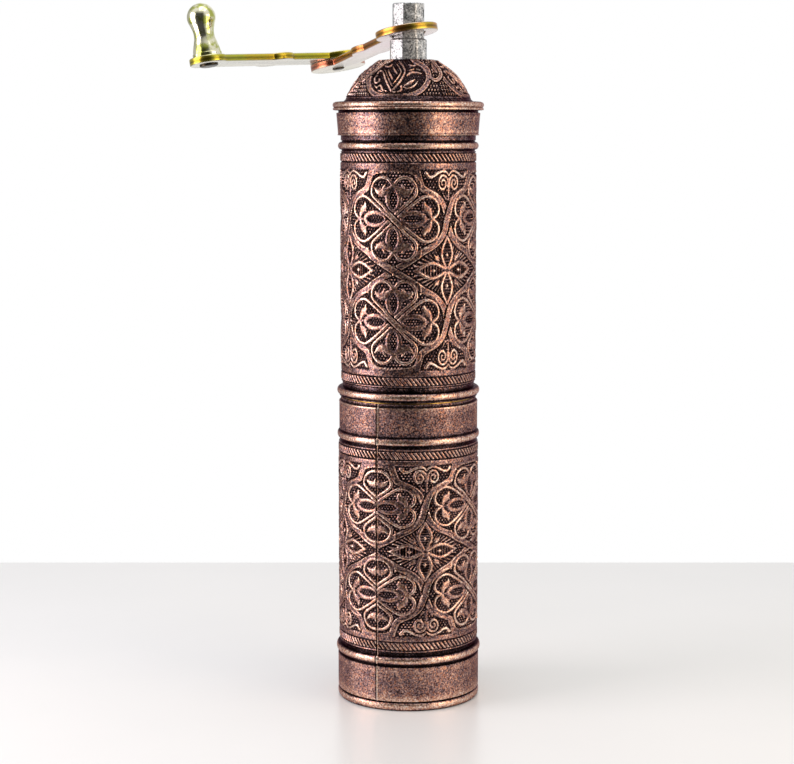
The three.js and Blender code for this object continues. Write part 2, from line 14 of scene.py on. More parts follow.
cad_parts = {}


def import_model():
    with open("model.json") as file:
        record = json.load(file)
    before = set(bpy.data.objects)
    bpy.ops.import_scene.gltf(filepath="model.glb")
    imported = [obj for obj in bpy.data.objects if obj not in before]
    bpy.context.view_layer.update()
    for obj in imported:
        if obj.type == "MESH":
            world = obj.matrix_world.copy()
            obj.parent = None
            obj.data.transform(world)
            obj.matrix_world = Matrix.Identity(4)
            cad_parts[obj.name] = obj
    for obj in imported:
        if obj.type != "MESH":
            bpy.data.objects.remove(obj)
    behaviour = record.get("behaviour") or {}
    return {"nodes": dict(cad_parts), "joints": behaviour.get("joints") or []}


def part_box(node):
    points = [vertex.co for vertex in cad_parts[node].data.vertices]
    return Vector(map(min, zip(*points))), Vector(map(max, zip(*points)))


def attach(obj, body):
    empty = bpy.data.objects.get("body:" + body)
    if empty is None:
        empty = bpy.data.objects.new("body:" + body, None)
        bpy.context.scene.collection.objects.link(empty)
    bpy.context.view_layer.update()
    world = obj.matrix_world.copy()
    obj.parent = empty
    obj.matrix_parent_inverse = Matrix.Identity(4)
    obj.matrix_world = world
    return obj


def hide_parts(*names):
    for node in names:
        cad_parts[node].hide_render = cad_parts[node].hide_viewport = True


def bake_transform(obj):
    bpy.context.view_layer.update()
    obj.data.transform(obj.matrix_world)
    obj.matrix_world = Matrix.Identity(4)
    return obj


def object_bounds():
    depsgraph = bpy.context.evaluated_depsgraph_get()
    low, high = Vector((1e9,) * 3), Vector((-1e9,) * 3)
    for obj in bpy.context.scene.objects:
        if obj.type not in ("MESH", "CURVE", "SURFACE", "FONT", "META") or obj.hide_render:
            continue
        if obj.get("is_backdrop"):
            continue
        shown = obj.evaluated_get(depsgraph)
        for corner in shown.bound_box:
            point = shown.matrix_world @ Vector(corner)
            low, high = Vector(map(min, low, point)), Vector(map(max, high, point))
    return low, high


MM = 0.001
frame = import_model()
cad_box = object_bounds()


def box_mm(node):
    """(lowest corner, highest corner) of a CAD node in millimetres."""
    low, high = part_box(node)
    return np.array(low) / MM, np.array(high) / MM


# Gaps between the pieces, and the radius at which a section meets the axis
REST_GAP = 0.05
FIT_GAP = 0.1
POLE = 0.01

# Photograph: 794 x 764 pixels
IMAGE_WIDTH = 794
FOCAL_PIXELS = 1920
AXIS_COLUMN = 408.3
SENSOR_WIDTH = 36
EYE_DISTANCE = 580
EYE_HEIGHT = 172.25
EYE_PITCH = 7.4

# Cup shell, heights above its lowest edge
CUP_BORE = 20.2
BASE_BAND_RADIUS = 21.64
BASE_BAND_TOP = 10.8
BASE_GROOVE_RADIUS = 21.15
BASE_GROOVE_TOP = 11.45
BASE_BEAD_TOP = 14.05
CUP_PANEL_TOP = 77.75
CUP_GROUND_RADIUS = 20.9
SHOULDER_BEAD_TOP = 80.05
COLLAR_RADIUS = 21.02
COLLAR_BOTTOM = 80.65
LIP_HEIGHT = 1.23
LIP_CHAMFER = 0.4
CUP_SEAM = -26.1
FOOT_ROUND = 0.9
SPIGOT_WALL = 0.9
FLOOR_THICKNESS = 1.6

# Barrel, heights above its lowest edge
BARREL_BORE = 19.6
FOOT_RADIUS = 20.9
FOOT_HEIGHT = 0.46
FOOT_BEAD_TOP = 2.83
BARREL_GROOVE_RADIUS = 20.0
PANEL_BOTTOM = 4.2
PANEL_TOP = 73.5
TOP_GROOVE_TOP = 74.0
TOP_BEAD_PROUD = 1.1
BARREL_GROUND_RADIUS = 20.02
BARREL_SEAM = 167.6
SEAT_WALL = 1.1
SLEEVE_WALL = 0.9

# Lid, heights above the ring's lowest edge
LID_BORE = 20.45
LID_LIP_RADIUS = 21.1
LID_LIP_HEIGHT = 0.25
LID_FLARE = 0.45
LID_BAND_TOP = 6.75
LID_GROOVE_RADIUS = 20.95
LID_GROOVE_TOP = 7.45
LID_SHELF_RADIUS = 17.65
LID_SHELF_HEIGHT = 8.4
DOME_WALL = 0.8
DOME_PLAIN_BAND = 1.35
FERRULE_BORE = 6.2


# Curves and outlines


def curve(points, steps=7):
    """A smooth line through the points."""
    p = np.array(points, float)
    p = np.vstack([2 * p[0] - p[1], p, 2 * p[-1] - p[-2]])
    t = np.linspace(0, 1, steps, endpoint=False)[:, None]
    line = []
    for a, b, c, d in zip(p, p[1:], p[2:], p[3:]):
        line.append(
            0.5 * (2 * b + (c - a) * t + (2 * a - 5 * b + 4 * c - d) * t**2 + (3 * b - a - 3 * c + d) * t**3)
        )
    return np.vstack([*line, p[-2:-1]])


def spiral(centre, start, end, from_angle, to_angle, steps=30):
    """A spiral from one radius to another, with radii (across, up)."""
    t = np.linspace(0, 1, steps)[:, None]
    angle = np.radians(from_angle + (to_angle - from_angle) * t)
    radius = np.array(start) * (1 - t) + np.array(end) * t
    return np.array(centre) + radius * np.hstack([np.cos(angle), np.sin(angle)])


def bead(radius, proud, bottom, top, steps=12):
    """A half-round bead on an upright outline of (radius, height) points."""
    angle = np.linspace(0, np.pi, steps + 1)
    height = bottom + (top - bottom) * (1 - np.cos(angle)) / 2
    return [(radius + proud * math.sin(a), z) for a, z in zip(angle, height)]


def offsets(corner, steps):
    """Points of an outline that are given by their distances from a corner."""
    return [(corner[0] + out, corner[1] + up) for out, up in steps]


def eased(corners, reach=0.25, steps=3):
    """The outline with each corner rounded over that reach."""
    corners = np.array(corners, float)
    count = len(corners)
    points = []
    for i, corner in enumerate(corners):
        before, after = corners[i - 1] - corner, corners[(i + 1) % count] - corner
        room = min(reach, 0.45 * np.linalg.norm(before), 0.45 * np.linalg.norm(after))
        start = corner + before / np.linalg.norm(before) * room
        end = corner + after / np.linalg.norm(after) * room
        for t in np.linspace(0, 1, steps + 1):
            points.append((1 - t) ** 2 * start + 2 * t * (1 - t) * corner + t**2 * end)
    return points


def ring_points(radius, count, turn=0.0, centre=(0, 0)):
    """Points evenly spaced on a circle, the first of them turned by so many degrees."""
    angle = np.arange(count) * 2 * np.pi / count + math.radians(turn)
    return np.column_stack([centre[0] + radius * np.cos(angle), centre[1] + radius * np.sin(angle)])


def divided(outline, reach=1.0):
    """The outline with points added along its long straight runs."""
    outline = np.array(outline, float)
    points = []
    for start, end in zip(outline, np.roll(outline, -1, axis=0)):
        count = max(1, round(np.linalg.norm(end - start) / reach))
        points.extend(start + (end - start) * k / count for k in range(count))
    return np.array(points)


# Relief drawn on a flat sheet


def crown(distance, power=2):
    """A rounded top: 1 in its middle, and 0 where the distance from there reaches 1."""
    return np.sqrt(np.clip(1 - distance**power, 0, 1))


def bell(distance):
    """1 in the middle, and fading out on either side."""
    return np.exp(-(distance**2))


def bars(phase):
    """Bars that rise from 0 to 1, one for each turn of the phase."""
    return np.clip(np.cos(phase) + 0.1, 0, 1)


class Relief:
    """Heights in millimetres over a sheet's cells, drawn stroke by stroke."""

    def __init__(self, across, up):
        self.shape = across.shape
        self.points = np.column_stack([across.ravel(), up.ravel()])
        self.height = np.zeros(across.size)
        self.order = np.argsort(self.points[:, 0])
        self.ordered = self.points[self.order, 0]

    def near(self, corners, reach=0.0):
        """The cells within reach of the box round the corners."""
        low, high = corners.min(0) - reach, corners.max(0) + reach
        first, last = np.searchsorted(self.ordered, (low[0], high[0]))
        cells = self.order[first:last]
        up = self.points[cells, 1]
        return cells[(up >= low[1]) & (up <= high[1])]

    def trace(self, lines, reach, square_ends=False):
        """The cells within reach of the lines, their distance, and their place along from 0 to 1."""
        nearest = np.full(len(self.height), np.inf)
        along = np.zeros(len(self.height))
        past = np.zeros(len(self.height), bool)
        for line in lines:
            line = np.asarray(line, float)
            steps = np.diff(line, axis=0)
            lengths = np.hypot(*steps.T)
            starts = np.concatenate([[0], np.cumsum(lengths)])
            for k in np.flatnonzero(lengths):
                step = steps[k]
                cells = self.near(line[k : k + 2], reach)
                point = self.points[cells]
                t = (point - line[k]) @ step / lengths[k] ** 2
                held = np.clip(t, 0, 1)
                gap = np.hypot(*(point - line[k] - held[:, None] * step).T)
                closer = gap < nearest[cells]
                hit = cells[closer]
                nearest[hit] = gap[closer]
                along[hit] = ((starts[k] + held * lengths[k]) / starts[-1])[closer]
                past[hit] = ((k == 0) & (t < 0) | (k == len(steps) - 1) & (t > 1))[closer]
        kept = nearest < reach
        if square_ends:
            kept &= ~past
        cells = np.flatnonzero(kept)
        return cells, nearest[cells], along[cells]

    def ridge(self, lines, width, rise, moat=0.0):
        """A half-round ridge along the lines. Several widths taper it. A moat cuts what it crosses."""
        widths = np.atleast_1d(width)
        cells, gap, along = self.trace(lines, widths.max() / 2 + moat, square_ends=moat > 0)
        half = np.interp(along, np.linspace(0, 1, len(widths)), widths) / 2
        top = rise * crown(gap / np.maximum(half, 1e-6), 3)
        on = gap < half
        if moat:
            self.height[cells] = np.where(on, top, np.minimum(self.height[cells], 0))
        else:
            self.height[cells[on]] = np.maximum(self.height[cells[on]], top[on])

    def ribbon(self, line, half, body, edge, groove):
        """A flat band with raised edges and a groove on either side, over whatever it crosses."""
        cells, gap, _ = self.trace([line], half + groove, square_ends=True)
        rim = bell((gap - half + edge) / (0.55 * edge))
        top = body * (1 + RIM_PROUD * rim) * crown(gap / half, 8)
        self.height[cells] = np.where(gap < half, top, np.minimum(self.height[cells], GROOVE_FLOOR))

    def within(self, outline):
        """Which cells lie inside a closed outline."""
        outline = np.asarray(outline, float)
        cells = self.near(outline)
        x, y = self.points[cells].T
        odd = np.zeros(len(cells), bool)
        for (x1, y1), (x2, y2) in zip(outline, np.roll(outline, -1, axis=0)):
            if y1 != y2:
                crosses = (y1 > y) != (y2 > y)
                odd ^= crosses & (x < (x2 - x1) * (y - y1) / (y2 - y1) + x1)
        inside = np.zeros(len(self.height), bool)
        inside[cells[odd]] = True
        return inside

    def fill(self, outline, pattern):
        """Sets the cells inside a closed outline to pattern(points)."""
        inside = self.within(outline)
        self.height[inside] = pattern(self.points[inside])

    def sheet(self):
        return self.height.reshape(self.shape)


def softened(height, passes):
    """The heights blurred a little with each pass."""
    for _ in range(passes):
        padded = np.pad(height, 1, mode="edge")
        height = (
            height + padded[:-2, 1:-1] + padded[2:, 1:-1] + padded[1:-1, :-2] + padded[1:-1, 2:]
        ) / 5
    return height


# The ornament of the cup and the barrel, drawn at the barrel's size.
# A column is centred on a medallion, and flowers lie on the lines between the columns.

COLUMN_WIDTH = 33.3
COLUMN_TURN = 93.0
ROW_HEIGHT = 15.1
PATTERN_HALF_HEIGHT = 29.4
HEART_WIDTH = 1.05
HEART_RISE = 0.5
UPRIGHT_HEART = [
    (0.15, 1.0), (1.6, 2.35), (3.3, 3.9), (5.0, 5.3), (6.4, 6.6), (6.9, 8.0),
    (6.4, 10.1), (5.0, 11.6), (3.3, 12.1), (1.5, 11.5), (0, 9.5),
]
LYING_HEART = [
    (1.0, 0.1), (2.5, 1.45), (4.2, 3.0), (6.2, 4.6), (8.2, 6.0), (9.8, 6.6),
    (11.6, 6.2), (13.1, 4.9), (13.7, 3.0), (13.2, 1.2), (11.6, 0),
]
OVER_BAND = [(-3.3, 3.9), (-1.75, 2.2), (0.25, 0.3), (2.3, -1.6), (4.2, -3.0)]
UPRIGHT_LEAF = [(9.4, 0.6), (8.5, 1.9), (7.7, 3.3), (8.0, 4.8), (9.1, 6.0)]
UPRIGHT_BARB = [(8.0, 3.0), (9.1, 3.0), (10.1, 2.4)]
LYING_LEAF = [(11.2, 0.5), (10.9, 1.7), (10.1, 2.8), (9.3, 3.8), (9.2, 5.1)]
LYING_BARB = [(10.2, 2.5), (9.3, 2.6), (8.6, 2.0)]
CLEARING = [
    (0, 13.7), (3.0, 13.5), (6.0, 12.7), (7.8, 10.9), (8.1, 9.1), (7.9, 8.3), (9.4, 8.5), (11.9, 7.7),
    (14.1, 5.2), (15.3, 2.2), (15.65, 0),
]
PETAL = [(0.7, 0.35), (2.6, 1.35), (4.6, 2.0), (6.6, 1.7), (8.6, 0.7), (9.8, 0)]
RIBBON = [
    (6.8, 29.7), (8.3, 24.7), (9.9, 23.3), (12.9, 21.7), (15.1, 19.4), (16.65, 15.1),
    (17.9, 10.8), (20.7, 7.7), (24.6, 5.5), (27.4, 3.5), (33.3, 0),
]
RIBBON_HALF = 1.02
RIBBON_BODY = 0.37
RIBBON_EDGE = 0.22
RIBBON_GROOVE = 0.4
RIM_PROUD = 0.35
GROOVE_FLOOR = -0.06
WEB_LIP_WIDTH = 0.3
WEB_LIP = 0.1
CURL = [(0.1, 12.6), (0.7, 13.5), (2.0, 13.9), (3.8, 13.2), (5.1, 12.4), (6.4, 12.2), (7.4, 13.3)]
SPANDREL_SHIFT = 0.45
QUARTERS = ((1, 1), (-1, 1), (1, -1), (-1, -1))
ROPE_HALF = 1.1
ROPE_GAP = 0.3
ROPE_PITCH = 1.34
ROPE_WIDTH = 0.86
ROPE_SLOPE = 0.78
LINE_GAP = 0.5
LINE_HALF = 0.24


def barred(along, pitch=0.9):
    """Fine bars on sunk ground."""
    return 0.52 * bars(2 * np.pi * along / pitch) - 0.12


def from_dot(points, pitch, row_pitch, half_width, half_height):
    """How far each point is from the nearest dot of staggered rows, where 1 is the dot's edge."""
    row = np.round(points[:, 1] / row_pitch)
    across = points[:, 0] / pitch + 0.5 * (row % 2)
    aside = (across - np.round(across)) * pitch
    return np.hypot(aside / half_width, (points[:, 1] - row * row_pitch) / half_height)


def stippled(points, pitch=1.0, rise=0.46, floor=-0.03):
    """Rows of small dots on the ground."""
    gap = from_dot(points, pitch, 0.866 * pitch, 0.33 * pitch, 0.33 * pitch)
    return rise * np.clip(1 - gap**2, 0, 1) + floor


def framed(relief, place, side, pattern, width, rise):
    """A closed ring along a side and its mirror image, with a pattern inside."""
    other = side * (1, -1)
    relief.fill(place(np.vstack([side, other[::-1]])), pattern)
    relief.ridge([place(side), place(other)], width, rise)


def palmette(relief, place, leaf, barb):
    """An almond ring with a barbed leaf on either side. place turns (outward, across) into sheet points."""
    t = np.linspace(0, np.pi, 16)
    side = np.column_stack([5.9 - 3.5 * np.cos(t), 1.9 * np.sin(t) ** 1.2])
    framed(relief, place, side, lambda p: stippled(p, 0.85, 0.5, -0.11), [0.9, 1.3, 1.6, 1.8], 0.42)
    leaf, barb = curve(leaf), curve(barb)
    for turn in (1, -1):
        relief.ridge([place(leaf * (1, turn))], [1.1, 2.0, 2.8, 1.9, 0.2], 0.48)
        relief.ridge([place(barb * (1, turn))], [1.7, 1.0, 0.2], 0.46)
    relief.ridge([place([(9.3, 0), (10.9, 0)])], [1.0, 0.4], 0.4)


def medallion(relief, centre):
    """Four hearts round a crossing, with a palmette in each."""
    centre = np.array(centre)
    upright, lying = curve(UPRIGHT_HEART), curve(LYING_HEART)
    for quarter in QUARTERS:
        relief.ridge([centre + upright * quarter], HEART_WIDTH, HEART_RISE)
        relief.ridge([centre + lying * quarter], HEART_WIDTH, HEART_RISE)
    over = curve(OVER_BAND)
    relief.ridge([centre + over, centre - over], HEART_WIDTH, HEART_RISE * 1.1, moat=0.35)
    for turn in (1, -1):
        palmette(relief, lambda p, s=turn: centre + np.array(p)[:, ::-1] * (1, s), UPRIGHT_LEAF, UPRIGHT_BARB)
        palmette(relief, lambda p, s=turn: centre + np.array(p) * (s, 1), LYING_LEAF, LYING_BARB)


def flower(relief, centre):
    """Four long petals round a boss, barred across inside, with a small leaf between each two."""
    centre = np.array(centre)
    petal = curve(PETAL)
    for turn in (1, -1):
        for axis, place, spread_by in (
            (0, lambda p, s=turn: centre + p * (s, 1), 1.1),
            (1, lambda p, s=turn: centre + p[:, ::-1] * (1, s), 0.95),
        ):
            side = petal * (1, spread_by)
            framed(relief, place, side, lambda p, a=axis: barred(p[:, a] - centre[a]), 1.15, 0.47)
            relief.ridge([place(np.array([(3.9, 0), (4.5, 0), (5.1, 0)]))], [0.3, 1.5, 0.3], 0.45)
    leaf = np.array([(2.7, 2.8), (3.5, 3.6), (4.4, 4.5)])
    for quarter in QUARTERS:
        relief.ridge([centre + leaf * quarter], [0.3, 1.9, 0.3], 0.46)
    relief.ridge([centre + np.array([(-0.01, 0), (0.01, 0)])], 1.9, 0.52)
    relief.fill(centre + ring_points(0.5, 12), lambda p: np.full(len(p), 0.1))


def rays(relief, centre, reach=10.5, count=46):
    """Fine strokes on the ground that run towards a flower."""
    offset = relief.points - np.array(centre)
    distance = np.hypot(*offset.T)
    cells = distance < reach
    angle = np.arctan2(offset[cells, 1], offset[cells, 0])
    relief.height[cells] = 0.42 * bars(count * angle) * np.clip(distance[cells] / 3, 0, 1)


def spandrel(relief, centre, up):
    """Twin spirals on a stem, and curls beside them, in the gap above or below two medallions."""
    centre = np.array(centre)
    relief.ridge([centre + np.array([(0, 5.2), (0, 11.9)]) * (1, up)], [0.4, 0.9, 0.9, 0.5], 0.38)
    for turn in (1, -1):
        side = (turn, up)
        coil = spiral((2.05, 10.3), (1.9, 2.75), (0.3, 0.4), 200, -430, 48)
        relief.ridge([centre + coil * side], [1.0, 0.85, 0.8], 0.5)
        relief.ridge([centre + curve(CURL) * side], [0.5, 0.95, 0.9, 0.9, 1.3], 0.5)
        relief.ridge([centre + curve([(0, 5.4), (1.4, 6.3), (1.9, 7.6)]) * side], [0.4, 0.8, 0.3], 0.36)


def webs(relief, columns):
    """Flat metal between the ribbons and the lobed clearing round each medallion."""
    quarter = curve(CLEARING, 5)
    lobes = np.vstack([quarter, quarter[::-1] * (1, -1), quarter * (-1, -1), quarter[::-1] * (-1, 1)])
    half = curve(RIBBON)
    side = np.column_stack([np.minimum(half[:, 0], COLUMN_WIDTH - half[:, 0]), half[:, 1]])
    for k in columns:
        for row in (1, -1):
            shift = (k * COLUMN_WIDTH, 0)
            right, left = side * (1, row) + shift, side * (-1, row) + shift
            clearing = lobes + (k * COLUMN_WIDTH, row * ROW_HEIGHT)
            web = relief.within(np.vstack([right, left[::-1]])) & ~relief.within(clearing)
            web[relief.trace([right, left], RIBBON_HALF - 0.2)[0]] = False
            relief.height[web] = RIBBON_BODY
            cells, gap, _ = relief.trace([clearing], WEB_LIP_WIDTH)
            raised = relief.height[cells] > RIBBON_BODY - 0.1
            relief.height[cells[raised]] += WEB_LIP * (1 - (gap[raised] / WEB_LIP_WIDTH) ** 2)


def ribbons(relief, columns):
    """Bands that weave round the medallions, over and under in turn."""
    half = curve(RIBBON)
    other = half[-2::-1] * (-1, -1) + (2 * COLUMN_WIDTH, 0)
    strand = np.vstack([half, other])
    over = np.hypot(strand[:, 0] - COLUMN_WIDTH, strand[:, 1]) < 4.5
    for band in (strand, strand * (-1, 1), strand[over]):
        for k in columns:
            line = band + (k * COLUMN_WIDTH, 0)
            relief.ribbon(line, RIBBON_HALF, RIBBON_BODY, RIBBON_EDGE, RIBBON_GROOVE)


def ornament(across, up):
    """The relief of a whole panel, over sheet points in the barrel pattern's own millimetres."""
    relief = Relief(across, up)
    relief.height[:] = stippled(relief.points)
    first = math.floor(across.min() / COLUMN_WIDTH) - 1
    last = math.ceil(across.max() / COLUMN_WIDTH) + 1
    columns = range(first, last + 1)
    for k in columns:
        rays(relief, ((k + 0.5) * COLUMN_WIDTH, 0))
    ribbons(relief, range(first - 2, last + 2))
    webs(relief, columns)
    for k in columns:
        border = (k + 0.5) * COLUMN_WIDTH
        flower(relief, (border, 0))
        for row in (1, -1):
            medallion(relief, (k * COLUMN_WIDTH, row * ROW_HEIGHT))
            spandrel(relief, (border + SPANDREL_SHIFT, row * ROW_HEIGHT), row)
    return relief.sheet()


def rope(across, up):
    """Slanting strokes side by side, up to half the rope's width above and below."""
    phase = (across + ROPE_SLOPE * up) / ROPE_PITCH
    gap = np.abs(phase - np.round(phase)) * ROPE_PITCH / math.hypot(1, ROPE_SLOPE)
    return 0.42 * crown(2 * gap / ROPE_WIDTH) * (np.abs(up) < ROPE_HALF)


def end_bands(relief, across, height, limit, middle, out):
    """The bands beyond the pattern's limit: a flat fillet, a rope, and a fine line."""
    beyond = (height - limit) * out
    reach = (middle - limit) * out - ROPE_HALF - ROPE_GAP
    fillet = RIBBON_BODY * crown(2 * beyond / reach - 1, 8)
    line = 0.3 * crown(((height - middle) * out - ROPE_HALF - LINE_GAP) / LINE_HALF)
    bands = np.maximum(fillet, np.maximum(rope(across, height - middle), line))
    return np.where(beyond > 0, bands, relief)


# Meshes


def deselect():
    if bpy.context.object and bpy.context.object.mode != "OBJECT":
        bpy.ops.object.mode_set(mode="OBJECT")
    bpy.ops.object.select_all(action="DESELECT")


def activate(obj):
    """Makes this the one object that is selected and active."""
    deselect()
    bpy.context.view_layer.objects.active = obj
    obj.select_set(True)


def coordinates(obj):
    """The mesh's points, a row for each."""
    co = np.zeros(len(obj.data.vertices) * 3)
    obj.data.vertices.foreach_get("co", co)
    return co.reshape(-1, 3)


def place_points(obj, points_mm):
    """Puts the mesh's points at these places, in millimetres."""
    obj.data.vertices.foreach_set("co", (np.asarray(points_mm) * MM).ravel())
    obj.data.update()


def started(name, points_mm):
    """Names the primitive just added, and puts its points at these places."""
    obj = bpy.context.object
    obj.name = obj.data.name = name
    place_points(obj, points_mm)
    return obj


def all_selected():
    bpy.ops.mesh.select_all(action="SELECT")


def edit(obj, *steps):
    """Runs edit-mode operators on the whole mesh. A step is a function."""
    activate(obj)
    bpy.ops.object.mode_set(mode="EDIT")
    for step in (all_selected, *steps):
        step()
    bpy.ops.object.mode_set(mode="OBJECT")


def merged(reach=1e-7):
    return lambda: bpy.ops.mesh.remove_doubles(threshold=reach)


def holes_filled():
    bpy.ops.mesh.select_mode(type="EDGE")
    bpy.ops.mesh.select_all(action="DESELECT")
    bpy.ops.mesh.select_non_manifold()
    bpy.ops.mesh.edge_face_add()
    all_selected()


def outward():
    bpy.ops.mesh.normals_make_consistent(inside=False)


def mark(obj, name, values):
    """Stores one number per point for the material to read."""
    held = obj.data.attributes.new(name, "FLOAT", "POINT")
    held.data.foreach_set("value", np.clip(values, 0, 1).astype(np.float32))


def dress(obj, body, finish, node, angle=40):
    """Smooths a finished piece, gives it its material and its body, and hides the CAD node that it stands
    for.

    A piece that stretches between two bodies is given no body here.
    """
    activate(obj)
    bpy.ops.object.shade_smooth_by_angle(angle=math.radians(angle))
    obj.data.materials.clear()
    obj.data.materials.append(FINISHES[finish])
    if body:
        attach(obj, body)
    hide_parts(node)
    BORROWED_SLOTS.get(finish, finish)
    return obj


def turned(name, outline, steps=128):
    """A closed outline of (radius, height) points spun about the upright axis."""
    outline = divided(outline)
    deselect()
    bpy.ops.mesh.primitive_circle_add(vertices=len(outline), radius=MM)
    obj = started(name, np.insert(outline, 1, 0, axis=1))
    turn = {"steps": steps, "angle": 2 * math.pi, "center": (0, 0, 0), "axis": (0, 0, 1)}
    edit(obj, lambda: bpy.ops.mesh.spin(**turn), all_selected, merged(), outward)
    return obj


def rolled(name, azimuths, radius, height, inner, whole=True):
    """A closed section rolled round the axis, from a row for each ring and a column for each azimuth.

    inner are its (radius, height) points after the last row, on the way back to the first. The points
    keep their row and column for sheet_marks. A section that isn't rolled the whole way round gets
    a face at either end.
    """
    rows, columns = radius.shape
    radius, height = (
        np.vstack([grid, np.repeat(np.array(inner)[:, [k]], columns, axis=1), grid[:1]])
        for k, grid in enumerate((radius, height))
    )
    labels = np.concatenate([np.arange(rows), np.full(len(inner), -1), [0]])
    last = len(labels) - 1
    deselect()
    bpy.ops.mesh.primitive_grid_add(x_subdivisions=columns - 1, y_subdivisions=last, size=2)
    share = (coordinates(bpy.context.object) + 1) / 2
    column = np.round(share[:, 0] * (columns - 1)).astype(int)
    row = np.round(share[:, 1] * last).astype(int)
    turn, r = np.radians(azimuths)[column], radius[row, column]
    obj = started(name, np.column_stack([r * np.sin(turn), -r * np.cos(turn), height[row, column]]))
    for key, values in (("row", labels[row]), ("column", column)):
        held = obj.data.attributes.new(key, "INT", "POINT")
        held.data.foreach_set("value", values.astype(np.int32))
    steps = [merged(1e-8)] if whole else [merged(1e-9), holes_filled]
    edit(obj, *steps, outward)
    return obj


def rubbed(relief, passes, contrast):
    """How far each place stands proud of the heights round it, blurred in so many passes."""
    return np.clip((relief - softened(relief, passes)) * contrast, 0, 1)


def sheet_marks(obj, relief, rub, plain=0.2):
    """Marks a rolled sheet's points with how light and how rubbed they are. plain is for its inside."""
    place = []
    for name in ("row", "column"):
        held = obj.data.attributes[name]
        values = np.zeros(len(held.data), np.int32)
        held.data.foreach_get("value", values)
        place.append(values)
        obj.data.attributes.remove(held)
    inside, place = place[0] < 0, tuple(place)
    mark(obj, "relief", np.where(inside, plain, (relief[place] + 0.1) / 0.6))
    mark(obj, "rub", np.where(inside, 0, rub[place]))


# Materials


def linear(code):
    """The linear colour of a written hexadecimal one."""
    parts = [int(code[i : i + 2], 16) / 255 for i in (0, 2, 4)]
    return (*[c / 12.92 if c <= 0.04045 else ((c + 0.055) / 1.055) ** 2.4 for c in parts], 1)


class Value:
    """A number that varies over a surface. Arithmetic on it adds Math nodes."""

    def __init__(self, nodes, socket):
        self.nodes = nodes
        self.socket = socket

    def _math(self, operation, *terms):
        return self.nodes.node("ShaderNodeMath", {"operation": operation}, dict(enumerate(terms)))

    def __add__(self, other):
        return self._math("ADD", self, other)

    def __sub__(self, other):
        return self._math("SUBTRACT", self, other)

    def __rsub__(self, other):
        return self._math("SUBTRACT", other, self)

    def __mul__(self, other):
        return self._math("MULTIPLY", self, other)

    __radd__ = __add__
    __rmul__ = __mul__

    def between(self, low, high):
        """0 below low and 1 above high, with a smooth rise between."""
        settings = {"interpolation_type": "SMOOTHSTEP"}
        return self.nodes.node("ShaderNodeMapRange", settings, {0: self, 1: low, 2: high})


class Nodes:
    """A node tree that is filled by calls."""

    def __init__(self, tree):
        self.tree = tree

    def node(self, kind, settings=None, inputs=None, out=0):
        made = self.tree.nodes.new(kind)
        for key, value in (settings or {}).items():
            setattr(made, key, value)
        for key, value in (inputs or {}).items():
            self.put(made.inputs[key], value)
        return Value(self, made.outputs[out])

    def put(self, socket, value):
        """Links a varying value to a socket, or sets it to a number or a written colour."""
        if isinstance(value, Value):
            self.tree.links.new(value.socket, socket)
        else:
            socket.default_value = linear(value) if isinstance(value, str) else value

    def ramp(self, factor, positions, codes):
        """The written colours at these positions, picked by the factor."""
        made = self.node("ShaderNodeValToRGB", None, {0: factor})
        elements = made.socket.node.color_ramp.elements
        for _ in positions[2:]:
            elements.new(0.5)
        for element, position, code in zip(elements, positions, codes.split()):
            element.position = position
            element.color = linear(code)
        return made

    def mix(self, factor, first, second, blend="MIX"):
        settings = {"data_type": "RGBA", "blend_type": blend}
        return self.node("ShaderNodeMix", settings, {0: factor, 6: first, 7: second}, out=2)


class Finish(Nodes):
    """One material round a Principled shader."""

    def __init__(self, name, **constants):
        self.material = bpy.data.materials.new(name)
        self.material.use_nodes = True
        super().__init__(self.material.node_tree)
        self.shader = self.tree.nodes["Principled BSDF"]
        self.place = self.node("ShaderNodeTexCoord", out=3)
        self.finish(**constants)

    def noise(self, size, detail=2.0, rough=0.5, stretch=None, out=0):
        """Noise whose features are about that many millimetres across."""
        where = self.place
        if stretch:
            where = self.node("ShaderNodeMapping", None, {"Vector": where, "Scale": stretch})
        inputs = {"Vector": where, "Scale": 1 / (size * MM), "Detail": detail, "Roughness": rough}
        return self.node("ShaderNodeTexNoise", None, inputs, out)

    def attribute(self, name):
        return self.node("ShaderNodeAttribute", {"attribute_name": name}, out=2)

    def bump(self, height, distance, strength=1.0):
        inputs = {"Strength": strength, "Distance": distance * MM, "Height": height}
        return self.node("ShaderNodeBump", None, inputs)

    def finish(self, **inputs):
        """Fills the shader's inputs and gives back the material."""
        for key, value in inputs.items():
            self.put(self.shader.inputs[key.replace("_", " ")], value)
        return self.material


